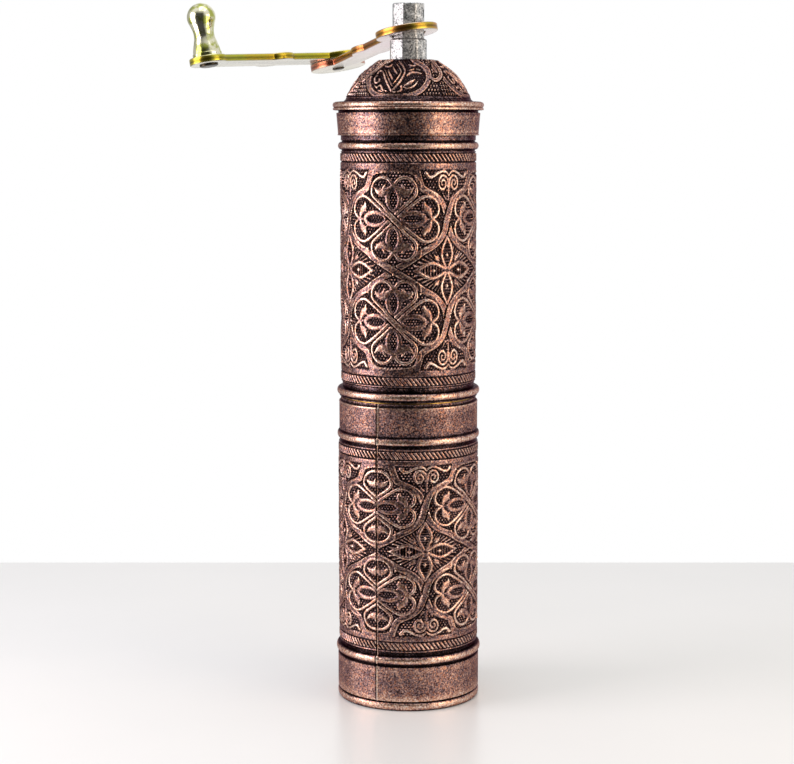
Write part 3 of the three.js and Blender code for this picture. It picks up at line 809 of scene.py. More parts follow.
def antique_copper(name):
    """Copper, nearly black in the hollows and rubbed bright on the crests, speckled all over."""
    f = Finish(name, Metallic=1.0, Specular_Tint="c4b2b8")
    relief, rub = f.attribute("relief"), f.attribute("rub")
    speck = f.noise(0.48, 1.8, 0.6) - 0.5
    patch = f.noise(3.2, 3, 0.55)
    wear = relief * 0.6 + rub * 0.4 + speck * (1.5 - rub * 0.8) + (patch - 0.5) * 0.4
    colour = f.ramp(
        wear, (0.0, 0.2, 0.36, 0.5, 0.64, 0.82, 1.0), "110d0f 282023 4b3f43 76646a a48077 d6b3a0 f8e8de"
    )
    mauve = f.noise(0.8, 2, 0.6).between(0.5, 0.66) * 0.5
    colour = f.mix(mauve, colour, "88706e", "SOFT_LIGHT")
    gold = f.noise(0.6, 2, 0.6, (1.0, 1.2, 0.9)).between(0.5, 0.62) * 0.6
    colour = f.mix(gold, colour, "d89a5a", "SOFT_LIGHT")
    rough = 0.36 - rub * 0.13 + speck * (0.4 - rub * 0.2) + f.attribute("matte") * 0.2
    height = f.noise(0.3, 3, 0.6)
    return f.finish(Base_Color=colour, Roughness=rough, Normal=f.bump(height, 0.035, 0.6))


def brass(name, light, dark, rough):
    """Turned brass with faint rings from the lathe, and clouds of a darker tarnish."""
    f = Finish(name, Metallic=1.0)
    rings = f.noise(0.25, 2, 0.5, (0.05, 0.05, 1.0))
    patch = f.noise(2.6, 3, 0.6)
    colour = f.mix(patch.between(0.42, 0.62), light, dark)
    rough = rough + (rings - 0.5) * 0.12
    return f.finish(Base_Color=colour, Roughness=rough, Normal=f.bump(rings, 0.01, 0.4))


def crank_steel(name):
    """Pressed steel with iridescent yellow passivation. Its flat faces are coloured pale, a painted
    reflection of the white surroundings, and its edges carry painted bands of highlight and shade.
    """
    f = Finish(name, Metallic=1.0)
    drift = f.noise(7, 2, 0.5)
    cloud = f.noise(1.6, 3, 0.6)
    place = f.attribute("along") + (drift - 0.5) * 0.14 + (cloud - 0.5) * 0.07
    edge = f.ramp(
        place, (0.0, 0.1, 0.2, 0.3, 0.42, 0.5, 0.56, 0.66, 0.74, 0.82, 0.9, 1.0),
        "d8c84c c9d050 f0cb46 d0cf4e ecd842 c8d24c dc9c50 f0b84c cc8858 e8b050 e08a6c f0aa98",
    )
    # Painted reflection: the pale colour that the flat faces take, for the white surroundings they mirror.
    painted_reflection = f.ramp(place, (0.0, 0.45, 0.7, 1.0), "e2e0d8 e4dfd6 ecd8dc e6e4d2")
    flat = f.attribute("flat")
    grain = f.noise(0.5, 3, 0.6, (0.2, 0.2, 1.4))
    level = f.attribute("level") + (grain - 0.5) * 0.25
    # Painted highlight and shade: bright and dark bands at set heights through the plate, along its rounded
    # edges.
    edge_highlight_bands = f.ramp(
        level, (0.0, 0.16, 0.36, 0.5, 0.58, 0.84, 1.0), "5a5648 f4f4e8 8c8678 5c564a b4ae9c fffdf0 a8a294"
    )
    edge = f.mix(0.75, edge, edge_highlight_bands, "MULTIPLY")
    # The flat faces are given the painted pale reflection.
    colour = f.mix(flat * 0.9, edge, painted_reflection)
    colour = f.mix((grain - 0.5) * 0.5 + 0.1, colour, "6f5a20", "SOFT_LIGHT")
    return f.finish(Base_Color=colour, Roughness=0.16 + grain * 0.16, Normal=f.bump(grain, 0.014, 0.5))


def head_casting(name):
    """Zinc-plated casting with a scratched, pitted skin."""
    f = Finish(name, Metallic=1.0)
    pits = f.noise(0.55, 4, 0.7)
    clouds = f.noise(2.4, 3, 0.6)
    scratches = f.noise(0.18, 3, 0.6, (1.0, 1.0, 0.12))
    tone = pits * 0.7 + clouds * 0.3
    colour = f.ramp(tone, (0.36, 0.44, 0.52, 0.62), "303234 7a7c7e bcbebf f2f2f2")
    height = pits * 0.75 + scratches * 0.25
    return f.finish(Base_Color=colour, Roughness=0.14 + pits * 0.4, Normal=f.bump(height, 0.2, 0.9))


def plain_steel(name, light, dark, rough):
    """Machined steel or iron."""
    f = Finish(name, Metallic=1.0)
    grain = f.noise(0.3, 3, 0.6)
    patch = f.noise(4, 2)
    colour = f.mix(patch.between(0.3, 0.7), light, dark)
    rough = rough + (grain - 0.5) * 0.2
    return f.finish(Base_Color=colour, Roughness=rough, Normal=f.bump(grain, 0.02, 0.4))


FINISHES = {
    name: make(name, *look)
    for name, make, *look in (
        ("antique_copper", antique_copper),
        ("plain_brass", brass, "c9a25a", "a97f3e", 0.32),
        ("knob_brass", brass, "f2eed2", "b4ba5c", 0.12),
        ("crank_steel", crank_steel),
        ("head_casting", head_casting),
        ("burr_iron", plain_steel, "55565a", "3b3c3f", 0.45),
        ("bright_steel", plain_steel, "b4b6b8", "8b8d90", 0.28),
        # Near-black brown for the rivet studs: painted shade for the dark patch under the pivot.
        ("browned_rivet", plain_steel, "4a4234", "2a2620", 0.3),
    )
}
BORROWED_SLOTS = {"browned_rivet": "bright_steel"}


# Embossed panels of the cup and the barrel

FRONT_SPAN = (-82.0, 83.0)
PANEL_COLUMNS = 280
PANEL_ROWS = 332
SEAM_DEPTH = 0.3
SEAM_WIDTH = 0.25
SEAM_SLIT = 0.12
SEAM_EDGE = 0.52
SEAM_LIP_PLACE = 0.16
SEAM_SLIT_PLACE = -0.2
SEAM_STEPS = np.array([-0.7, -0.48, -0.34, -0.24, -0.14, -0.05, 0.04, 0.14, 0.24, 0.34, 0.48, 0.7])
BARREL_MIDDLE = 132.15
BARREL_MEDALLION = -12.4
BARREL_ROPES = (99.5, 165.0)
CUP_MIDDLE = 48.7
CUP_SQUEEZE = 0.88
CUP_COLUMN_TURN = 93.6
CUP_LEAD = 7.2
CUP_ROPES = (19.75, 77.55)


def spread(first, last, count):
    """Both ends and the places between them that divide the way into so many steps."""
    return np.linspace(first, last, count + 1)


def seam_parts(from_seam):
    """How far a place lies on the seam's right-hand lip, and in the slit beside it."""
    lip = bell((from_seam - SEAM_LIP_PLACE) / SEAM_WIDTH)
    return lip, bell((from_seam - SEAM_SLIT_PLACE) / SEAM_SLIT)


def seam_profile(relief, from_seam):
    """A groove where the sheet's edges meet, with the right-hand edge standing a little proud."""
    lip, slit = seam_parts(from_seam)
    return np.maximum(relief, SEAM_EDGE * lip) - (SEAM_DEPTH + np.maximum(relief, 0)) * slit


def seam_distance(azimuth, seam, radius):
    """Millimetres round the surface from the seam, less than nothing on its left."""
    return np.radians((azimuth - seam + 180) % 360 - 180) * radius


def panel(name, body, node, span, radii, seam, pattern, limits, ropes):
    """A band of ornament, as a front and a back sheet that meet at the sides.

    span is its lowest and highest place, radii are its ground and its bore. pattern(azimuth,
    height) gives the place on the ornament, which ends at limits with a rope beyond each end.
    """
    front, back = FRONT_SPAN
    ground, bore = radii
    azimuths = np.unique(np.concatenate([
        spread(front, back, PANEL_COLUMNS), spread(back, front + 360, PANEL_COLUMNS),
        seam + np.degrees(SEAM_STEPS / ground),
    ]))
    azimuth, height = np.meshgrid(azimuths, spread(*span, PANEL_ROWS))
    relief = ornament(*pattern(azimuth, height))
    for limit, middle, out in zip(limits, ropes, (-1, 1)):
        relief = end_bands(relief, np.radians(azimuth) * ground, height, limit, middle, out)
    relief = seam_profile(relief, seam_distance(azimuth, seam, ground))
    middle = np.searchsorted(azimuths, back)
    inner = [(bore, span[1]), (bore, span[0])]
    rub = rubbed(relief, 24, 3.2)
    for side, part in (("front", slice(0, middle + 1)), ("back", slice(middle, None))):
        radius = ground + relief[:, part]
        obj = rolled(f"{name}_{side}", azimuths[part], radius, height[:, part], inner, False)
        sheet_marks(obj, relief[:, part], rub[:, part])
        dress(obj, body, "antique_copper", node, 60)


def barrel_panel():
    foot = box_mm("barrel_tube")[0][2]

    def pattern(azimuth, height):
        unwrapped = (azimuth - BARREL_SEAM) % 360 + BARREL_SEAM - 360
        return (unwrapped - BARREL_MEDALLION) / COLUMN_TURN * COLUMN_WIDTH, height - BARREL_MIDDLE

    panel(
        "barrel_panel", "barrel", "barrel_tube", (foot + PANEL_BOTTOM, foot + PANEL_TOP),
        (BARREL_GROUND_RADIUS, BARREL_BORE), BARREL_SEAM, pattern,
        (BARREL_MIDDLE - PATTERN_HALF_HEIGHT, BARREL_MIDDLE + PATTERN_HALF_HEIGHT), BARREL_ROPES,
    )


def cup_panel():
    foot = box_mm("cup_shell")[0][2]
    reach = PATTERN_HALF_HEIGHT * CUP_SQUEEZE

    def pattern(azimuth, height):
        from_seam = (azimuth - CUP_SEAM) % 360
        return (from_seam + CUP_LEAD) / CUP_COLUMN_TURN * COLUMN_WIDTH, (height - CUP_MIDDLE) / CUP_SQUEEZE

    panel(
        "cup_panel", "cup", "cup_shell", (foot + BASE_BEAD_TOP, foot + CUP_PANEL_TOP),
        (CUP_GROUND_RADIUS, CUP_BORE), CUP_SEAM, pattern, (CUP_MIDDLE - reach, CUP_MIDDLE + reach), CUP_ROPES,
    )


# Turned rings

MARK_STEP = 0.05
RUB_WINDOW = 81
GROOVE_WINDOW = 17
PROUD_LIGHT = 0.8
PROUD_RUB = 1.2
RUB_LIMIT = 0.5
SUNK_DARK = 1.8
LIP_LIGHT = 0.25
LIP_RUB = 0.5
SLIT_DARK = 1.6
RING_SEAM = 0.6


def copper_ring(obj, body, node, outline, plain=0.7, shine=0.0, matte=0.0, seam=None):
    """Dresses a turned piece: bright where it stands proud of its neighbourhood, dark in its grooves.

    plain, shine and matte are how bright, how rubbed and how dull its plain runs are. A seam down
    it is dark, with a rubbed lip.
    """
    outline = np.array(outline, float)
    height = np.arange(outline[:, 1].min() - 1, outline[:, 1].max() + 1, MARK_STEP)
    reach = np.zeros(len(height))
    for (r1, z1), (r2, z2) in zip(outline, np.roll(outline, -1, axis=0)):
        if z1 != z2:
            spans = (height >= min(z1, z2)) & (height <= max(z1, z2))
            reach = np.where(spans, np.maximum(reach, r1 + (r2 - r1) * (height - z1) / (z2 - z1)), reach)
    kept = reach > 0
    ends = reach[kept][[0, -1]] - 0.5
    filled = np.interp(height, height[kept], reach[kept], left=ends[0], right=ends[1])

    def windows(count):
        padded = np.pad(filled, count // 2, mode="edge")
        return np.lib.stride_tricks.sliding_window_view(padded, count)

    points = coordinates(obj) / MM
    radius = np.hypot(points[:, 0], points[:, 1])
    proud = radius - np.interp(points[:, 2], height, windows(RUB_WINDOW).mean(axis=1))
    sunk = np.interp(points[:, 2], height, windows(GROOVE_WINDOW).max(axis=1)) - radius
    lip, slit = 0, 0
    if seam is not None:
        azimuth = np.degrees(np.arctan2(points[:, 0], -points[:, 1]))
        lip, slit = seam_parts(seam_distance(azimuth, seam, radius))
    sunk = np.clip(sunk, 0, 1)
    seam_light = lip * LIP_LIGHT - slit * SLIT_DARK
    mark(obj, "relief", plain + proud * PROUD_LIGHT - sunk * SUNK_DARK + seam_light)
    mark(obj, "rub", np.minimum(shine + proud * PROUD_RUB, RUB_LIMIT) - sunk + lip * LIP_RUB)
    mark(obj, "matte", matte - np.abs(proud) * 3)
    dress(obj, body, "antique_copper", node)


def seamed(name, outline):
    """An outline of (radius, height) points rolled round the axis, with the cup's seam down it."""
    back = CUP_BORE + FIT_GAP
    outline = divided([*outline, (back, outline[-1][1]), (back, outline[0][1])])
    outline = outline[outline[:, 0] > back + REST_GAP]
    middle = outline[:, 0].mean()
    seam_turns = np.degrees(SEAM_STEPS / middle) % 360
    turns = np.unique(np.concatenate([[0, 360], np.arange(3, 358, 2.4), seam_turns]))
    radius, height = (np.repeat(outline[:, [k]], len(turns), axis=1) for k in (0, 1))
    from_seam = seam_distance(turns, 0, middle)
    radius = radius + seam_profile(0 * from_seam, from_seam) * RING_SEAM
    inner = [(CUP_BORE, outline[-1, 1]), (CUP_BORE, outline[0, 1])]
    return rolled(name, turns + CUP_SEAM, radius, height, inner)


def cup_rings():
    low, high = box_mm("cup_shell")
    foot, top, crest = low[2], high[2], high[0]
    groove = foot + BASE_GROOVE_TOP
    lower = [
        *offsets((BASE_BAND_RADIUS, foot), [(-0.45, 0), (-0.35, 0.12), (-0.05, 0.3), (0, 0.42)]),
        *offsets((BASE_BAND_RADIUS, foot + BASE_BAND_TOP), [(0, -0.2), (-0.2, 0)]),
        (BASE_GROOVE_RADIUS, foot + BASE_BAND_TOP + 0.15), (BASE_GROOVE_RADIUS, groove - 0.1),
        *bead(BASE_GROOVE_RADIUS, crest - BASE_GROOVE_RADIUS - 0.02, groove, foot + BASE_BEAD_TOP),
    ]
    copper_ring(seamed("cup_base_band", lower), "cup", "cup_shell", lower, 0.85, 0.1, 0.5, CUP_SEAM)
    neck, lip = COLLAR_RADIUS - 0.1, top - LIP_HEIGHT
    upper = [
        *bead(neck, 0.7, foot + CUP_PANEL_TOP, foot + SHOULDER_BEAD_TOP),
        *offsets((neck, foot + COLLAR_BOTTOM), [(0, -0.15), (0.1, 0)]),
        *offsets((COLLAR_RADIUS, lip), [(0, -0.5), (0.08, -0.2), (0.02, 0.05), (-0.22, 0.2)]),
        (COLLAR_RADIUS - LIP_CHAMFER, lip + 0.35),
        *offsets((COLLAR_RADIUS - LIP_CHAMFER, top), [(-0.1, -0.12), (-0.22, 0)]),
    ]
    copper_ring(seamed("cup_collar", upper), "cup", "cup_shell", upper, 0.88, 0.0, 0.9, CUP_SEAM)


def cup_foot():
    rim, _, top = box_mm("cup_base")[1]
    shoulder = box_mm("cup_shell")[0][2] - REST_GAP
    spigot = CUP_BORE - FIT_GAP
    inside = spigot - SPIGOT_WALL
    outline = [
        (POLE, 0),
        *offsets((rim, 0), [(-2.2, 0), (-1.9, 0.25), (-1.5, 0.25), (-1.2, 0), (-FOOT_ROUND, 0)]),
        *offsets((rim, 0), [(-0.42, 0.12), (-0.12, 0.5), (0, 1.1)]),
        *offsets((rim, shoulder), [(0, -0.75), (-0.1, -0.45), (-0.3, -0.2), (-0.6, -0.05), (-0.8, 0)]),
        (spigot, shoulder), (spigot, top), (inside, top),
        (inside, FLOOR_THICKNESS + 0.6), (inside - 0.6, FLOOR_THICKNESS), (POLE, FLOOR_THICKNESS),
    ]
    copper_ring(turned("cup_foot", outline), "cup", "cup_base", outline, 0.5)


def barrel_rings():
    low, high = box_mm("barrel_tube")
    foot, top, crest = low[2], high[2], high[0]
    inner, neck = FOOT_RADIUS - 0.25, foot + FOOT_BEAD_TOP
    lower = [
        (BARREL_BORE, foot), *offsets((FOOT_RADIUS, foot), [(-0.1, 0), (0, 0.1), (0, FOOT_HEIGHT - 0.05)]),
        *bead(inner, crest - inner - 0.01, foot + FOOT_HEIGHT, neck),
        (BARREL_GROOVE_RADIUS, neck + 0.12), (BARREL_GROOVE_RADIUS, foot + PANEL_BOTTOM),
        (BARREL_BORE, foot + PANEL_BOTTOM),
    ]
    copper_ring(turned("barrel_foot", lower), "barrel", "barrel_tube", lower)
    groove = foot + TOP_GROOVE_TOP
    upper = [
        (BARREL_BORE, foot + PANEL_TOP), (BARREL_GROOVE_RADIUS, foot + PANEL_TOP),
        (BARREL_GROOVE_RADIUS, groove - 0.1),
        *bead(BARREL_GROOVE_RADIUS, TOP_BEAD_PROUD, groove, top - 0.3),
        (BARREL_GROOVE_RADIUS, top), (BARREL_BORE, top),
    ]
    copper_ring(turned("barrel_top_bead", upper), "barrel", "barrel_tube", upper)


def lid_ring():
    low, high = box_mm("lid_ring")
    foot, top, rim = low[2], high[2], high[0]
    band, groove, shelf = foot + LID_BAND_TOP, foot + LID_GROOVE_TOP, foot + LID_SHELF_HEIGHT
    flank = offsets((LID_LIP_RADIUS, foot), [(-0.02, 0.6), (0.1, 2.5)])
    flank += offsets((LID_LIP_RADIUS + LID_FLARE, band), [(-0.05, -0.7), (0, -0.1)])
    outline = [
        (LID_BORE, foot), *offsets((LID_LIP_RADIUS, foot), [(-0.1, 0), (0.12, 0.12)]),
        *offsets((LID_LIP_RADIUS, foot + LID_LIP_HEIGHT), [(0.12, 0), (-0.08, 0.15)]),
        *curve(flank, 4),
        (LID_GROOVE_RADIUS, band + 0.05), (LID_GROOVE_RADIUS, groove - 0.05),
        *offsets((rim, groove), [(-0.5, 0), (-0.16, 0.08), (-0.06, 0.35), (-0.16, 0.65)]),
        *offsets((rim, groove), [(-0.4, 0.82), (-0.16, 1.02), (0, 1.4)]),
        *offsets((rim, top), [(-0.04, -0.72), (-0.3, -0.3), (-0.9, -0.06), (-1.6, 0)]),
        (LID_SHELF_RADIUS, top), (LID_SHELF_RADIUS, shelf), (LID_BORE, shelf),
    ]
    copper_ring(turned("lid_band", outline), "lid", "lid_ring", outline, 0.95, 0.1)


def ferrule():
    low, high = box_mm("lid_ferrule")
    outer, bottom, top = high[0], low[2], high[2]
    outline = eased([(FERRULE_BORE, bottom), (outer, bottom), (outer, top), (FERRULE_BORE, top)], 0.3)
    copper_ring(turned("lid_eye", outline, 64), "lid", "lid_ferrule", outline)


def stepped(bore, lower, upper, bottom, shelf, top):
    """The section of a tube whose outside steps from one radius to another at the shelf."""
    return eased([
        (bore, bottom), (lower, bottom), (lower, shelf), (upper, shelf), (upper, top), (bore, top),
    ])


def lid_seat():
    low, high = box_mm("lid_seat")
    skirt = BARREL_BORE - FIT_GAP
    shelf = box_mm("barrel_tube")[1][2] + REST_GAP
    outline = stepped(skirt - SEAT_WALL, skirt, high[0], low[2], shelf, high[2])
    # The neck is coloured near black, far darker than the copper round it: dark patina, and painted shade for
    # the cove between the lid and the top bead.
    copper_ring(turned("seat_neck", outline), "barrel", "lid_seat", outline, 0.12, 0.3)


def sleeve():
    low, high = box_mm("neck_sleeve")
    outer = BARREL_BORE - FIT_GAP
    shelf = box_mm("barrel_tube")[0][2] - REST_GAP
    outline = stepped(outer - SLEEVE_WALL, high[0], outer, low[2], shelf, high[2])
    dress(turned("plug_sleeve", outline), "barrel", "plain_brass", "neck_sleeve")


# Dome

DOME_PROFILE = [
    (19.35, 0), (18.6, 0.7), (17.94, 1.85), (16.4, 4.6),
    (14.4, 7.4), (11.93, 9.55), (8.85, 11.7), (8.0, 12.3),
]
DOME_MEDALLIONS = 4
DOME_FIRST = -13.0
DOME_ROWS = 100
DOME_COLUMNS = 600
DOME_FRAME = [
    (0, 1.5), (4.4, 1.8), (7.5, 3.4), (9.3, 6.4), (9.1, 9.6), (7.5, 12.4), (4.6, 15.0), (2.6, 17.7),
]
DOME_STROKE_WIDTH = 0.88
DOME_BAND_RISE = 0.12
DOME_LINE_RISE = 0.14
DOME_LINE_WIDTH = 0.2
DOME_TOP_FADE = 0.8
DOME_FOOT_FADE = 0.3
DOME_TOP_GAP = 0.02
DOME_EYE_MARGIN = 1.2
DOME_HOOK = [(2.6, 17.7), (2.7, 14), (2.7, 11.3), (2.1, 9.0), (0.6, 7.4), (-0.9, 7.0), (-1.9, 7.9)]
DOME_STROKES = [
    ([(-6.4, 9.2), (-5.9, 10.6), (-4.7, 10.2), (-3.2, 7.0), (-1.0, 3.2)], [0.4, 0.7, 0.75, 0.75, 0.6]),
    ([(-4.3, 11.2), (-3.4, 9.6), (-2.0, 6.8), (-0.9, 4.8)], [0.3, 0.45, 0.45, 0.4]),
    ([(-0.5, 15.4), (1.2, 12.6), (2.1, 9.8), (1.0, 6.2), (-1.0, 3.2)], [0.5, 0.75, 0.75, 0.75, 0.6]),
    ([(-0.9, 13.8), (0.3, 11.8), (1.0, 9.8), (0.3, 7.6), (-0.8, 5.6)], [0.3, 0.4, 0.45, 0.45, 0.3]),
    ([(-3.0, 10.9), (-2.2, 9.2), (-1.0, 7.2)], [0.3, 1.0, 0.3]),
    ([(-1.9, 12.6), (-1.0, 10.9), (-0.1, 9.4)], [0.3, 1.0, 0.3]),
    ([(-4.6, 13.0), (-3.2, 12.6), (-2.2, 13.8)], [0.3, 0.8, 0.3]),
    ([(2.9, 8.6), (4.0, 9.8), (5.2, 9.8), (7.0, 9.4)], [0.4, 1.6, 1.3, 0.2]),
    ([(3.2, 10.6), (4.6, 11.3), (6.3, 10.9)], [0.3, 0.5, 0.3]),
    ([(2.6, 13.6), (3.7, 13.0), (4.9, 13.4)], [0.4, 1.2, 0.3]),
    ([(2.9, 5.2), (3.9, 6.0), (5.4, 7.2)], [0.7, 1.5, 0.2]),
    ([(2.4, 4.6), (3.9, 4.1), (5.6, 5.2), (6.4, 6.9)], [0.4, 0.6, 0.6, 0.3]),
    ([(-6.3, 8.7), (-7.1, 7.6), (-6.6, 6.2), (-5.4, 6.4), (-5.3, 7.4)], [0.4, 0.65, 0.65, 0.65, 0.9]),
    ([(-6.9, 5.4), (-5.7, 4.5), (-4.6, 5.2), (-3.8, 3.8), (-2.4, 3.3)], [0.3, 0.7, 0.7, 0.7, 0.4]),
    ([(-5.2, 3.6), (-4.2, 3.3), (-3.3, 2.9)], [0.3, 0.6, 0.3]),
    ([(-0.6, 3.0), (0.9, 2.9), (1.9, 4.0), (1.7, 5.0)], [0.5, 0.65, 0.65, 0.7]),
]


def seeded(points):
    """Rows of upright seeds on the ground."""
    return 0.46 * crown(from_dot(points, 0.95, 1.25, 0.24, 0.55))


def dome_relief(azimuth, arc, radius):
    """The dome's ornament: oval frames with leafy scrolls, and hooks and rows of seeds between them."""
    turn = 360 / DOME_MEDALLIONS
    offset = (azimuth - DOME_FIRST + turn / 2) % turn - turn / 2
    relief = Relief(np.radians(offset) * radius, arc)
    relief.height[:] = seeded(relief.points)
    side = curve(DOME_FRAME)
    loop = np.vstack([side[::-1] * (-1, 1), side[1:]])
    relief.fill(loop, lambda p: stippled(p, 0.7, 0.2, -0.05))
    for line, widths in DOME_STROKES:
        relief.ridge([curve(line)], np.array(widths) * DOME_STROKE_WIDTH, 0.42)
    relief.ribbon(loop, 0.9, RIBBON_BODY, RIBBON_EDGE, 0.3)
    offset = (azimuth - DOME_FIRST) % turn - turn / 2
    between = Relief(np.radians(offset) * radius, arc)
    between.height[:] = relief.height
    between.ribbon(curve(DOME_HOOK), 0.65, RIBBON_BODY * 1.15, 0.2, 0.35)
    return between.sheet()


def dome():
    low, high = box_mm("lid_dome")
    base, top = box_mm("lid_ring")[1][2], high[2]
    profile = curve(DOME_PROFILE, 12)
    lengths = np.concatenate([[0], np.cumsum(np.hypot(*np.diff(profile, axis=0).T))])
    arcs = spread(0, lengths[-1], DOME_ROWS)
    radii, heights = (np.interp(arcs, lengths, profile[:, k]) for k in (0, 1))
    inward, upward = np.gradient(radii, arcs), np.gradient(heights, arcs)
    azimuths = spread(-180, 180, DOME_COLUMNS)
    azimuth, arc = np.meshgrid(azimuths, arcs)
    relief = dome_relief(azimuth, arc, radii[:, None])
    line = DOME_BAND_RISE + DOME_LINE_RISE * bell((arc - DOME_PLAIN_BAND) / DOME_LINE_WIDTH)
    relief = np.where(arc < DOME_PLAIN_BAND + 0.3, line, relief)
    relief = relief * np.clip((arcs[-1] - arc) / DOME_TOP_FADE, 0, 1) * np.clip(arc / DOME_FOOT_FADE, 0, 1)
    radius = radii[:, None] + relief * upward[:, None]
    crest = top - DOME_TOP_GAP
    height = np.minimum(base + heights[:, None] - relief * inward[:, None], crest)
    eye = FERRULE_BORE + DOME_EYE_MARGIN
    spigot = LID_SHELF_RADIUS - FIT_GAP
    wall = spigot - DOME_WALL
    lining = np.column_stack([radii - DOME_WALL * upward, base + heights + DOME_WALL * inward])[::-7]
    lining = lining[(lining[:, 0] > eye + 0.2) & (lining[:, 0] < wall)]
    inner = [
        (eye + 0.4, crest), (eye, top - 0.15), (eye, top - DOME_WALL), *lining,
        (wall, base + 0.5), (wall, low[2]), (spigot, low[2]), (spigot, base + REST_GAP),
    ]
    obj = rolled("dome", azimuths, radius, height, inner)
    sheet_marks(obj, relief, rubbed(relief, 16, 3.0), 0.3)
    dress(obj, "lid", "antique_copper", "lid_dome", 60)


# Drive head, crank and knob


def axes(along, normal, origin):
    """A frame at the origin whose X runs along and whose Z is the normal."""
    made = Matrix((along, normal.cross(along), normal)).transposed().to_4x4()
    made.translation = origin
    return made


def seat_frames():
    """The crank's own axes in millimetres, from the joints: (inner arm's, outer arm's, pivot's distance)."""
    joints = {joint["name"]: joint for joint in frame["joints"]}
    pivot = Vector(joints["arm_fold"]["pos_m"]) / MM
    grip = Vector(joints["knob_spin"]["pos_m"]) / MM
    normal = Vector(joints["arm_fold"]["axis"]).normalized()
    seat = Vector((0, 0, pivot.dot(normal) / normal.z))
    start = pivot + normal * (grip - pivot).dot(normal)
    inner = axes((pivot - seat).normalized(), normal, seat)
    outer = axes((grip - start).normalized(), normal, start)
    return inner, outer, (pivot - seat).length


ARM_THICKNESS = 2.2
ARM_NECK = 4.6
LOBE_RADIUS = 6.3
HEAD_BOSS = 9.35
HEAD_BOSS_SHIFT = 0.8
PIVOT_BOSS = 8.84
KNOB_BOSS = 5.7
RIVET_RADIUS = 1.85
KNOB_PIN_RADIUS = 1.6
ARM_ROUND = 0.32
PIVOT_PLAY = 0.12
GRIP_PLAY = 0.1
HEAD_LOWER = 5.8
HEAD_UPPER = 5.0
HEAD_TURN = 27
HEAD_SHOULDER_DROP = 10.6
HEAD_BORE = 3.1
HEAD_ROUND = 0.42
HEAD_PLAY = 0.07
OCTAGON_FLAT = math.cos(math.pi / 8)
KNOB_HEIGHT = 16.42
KNOB_BALL = 4.38
KNOB_BORE_DEPTH = 10.15
KNOB_PIN_REACH = 10
KNOB_PLAY = 0.15


def arc_points(centre, radius, start, end, steps=20):
    """Points of an arc round a place on the arm's middle line. The angles are in radians."""
    angle = np.linspace(start, end, steps)
    return [(centre + radius * math.cos(a), radius * math.sin(a)) for a in angle]


def moved(obj, matrix):
    """Moves the mesh itself, with a matrix in millimetres."""
    metres = matrix.copy()
    metres.translation = metres.translation * MM
    obj.data.transform(metres)
    obj.data.update()


def apply(obj, change):
    activate(obj)
    bpy.ops.object.modifier_apply(modifier=change.name)


def combine(obj, other, operation="DIFFERENCE"):
    """Takes another mesh out of the piece, or joins it to the piece."""
    change = obj.modifiers.new("combine", "BOOLEAN")
    change.operation = operation
    change.solver = "EXACT"
    change.object = other
    apply(obj, change)
    bpy.data.objects.remove(other)


def bevel(obj, width, segments=3, angle=40):
    change = obj.modifiers.new("round", "BEVEL")
    change.width = width * MM
    change.segments = segments
    change.limit_method = "ANGLE"
    change.angle_limit = math.radians(angle)
    apply(obj, change)


def prism(name, outline, bottom, top):
    """An outline drawn out upwards."""
    deselect()
    bpy.ops.mesh.primitive_circle_add(vertices=len(outline), radius=MM, fill_type="NGON")
    obj = started(name, np.insert(np.array(outline, float), 2, bottom, axis=1))
    rise = {"value": (0, 0, (top - bottom) * MM)}
    edit(obj, lambda: bpy.ops.mesh.extrude_region_move(TRANSFORM_OT_translate=rise), all_selected, outward)
    return obj


def arm(name, length, bosses, holes, matrix, places):
    """A pressed plate: a boss at each end, a lobe half way, and rounded edges.

    bosses are (centre along, radius) of the two ends. The places say where its colours run from
    and to, which the material reads with how flat the surface lies.
    """
    middle = length / 2
    (head, head_radius), (end, end_radius) = bosses
    first, last, lobe = (math.asin(ARM_NECK / radius) for radius in (head_radius, end_radius, LOBE_RADIUS))
    outline = [
        *arc_points(end, end_radius, last - math.pi, math.pi - last, 32),
        *arc_points(middle, LOBE_RADIUS, lobe, math.pi - lobe),
        *arc_points(head, head_radius, first, 2 * math.pi - first, 40),
        *arc_points(middle, LOBE_RADIUS, math.pi + lobe, 2 * math.pi - lobe),
    ]
    obj = prism(name, outline, 0, ARM_THICKNESS)
    for hole in holes:
        combine(obj, prism("hole", hole, -1, ARM_THICKNESS + 1))
    bevel(obj, ARM_ROUND)
    points = coordinates(obj) / MM
    along = np.interp(points[:, 0], (head - head_radius, end + end_radius), places)
    depth = np.minimum(points[:, 2], ARM_THICKNESS - points[:, 2])
    mark(obj, "along", along)
    # How flat the face lies; the material colours the flat faces pale as a painted reflection.
    mark(obj, "flat", 1 - depth / ARM_ROUND)
    # Height through the plate, where the material paints bands of highlight and shade along the edge.
    mark(obj, "level", points[:, 2] / ARM_THICKNESS)
    moved(obj, matrix)
    dress(obj, name, "crank_steel", name)


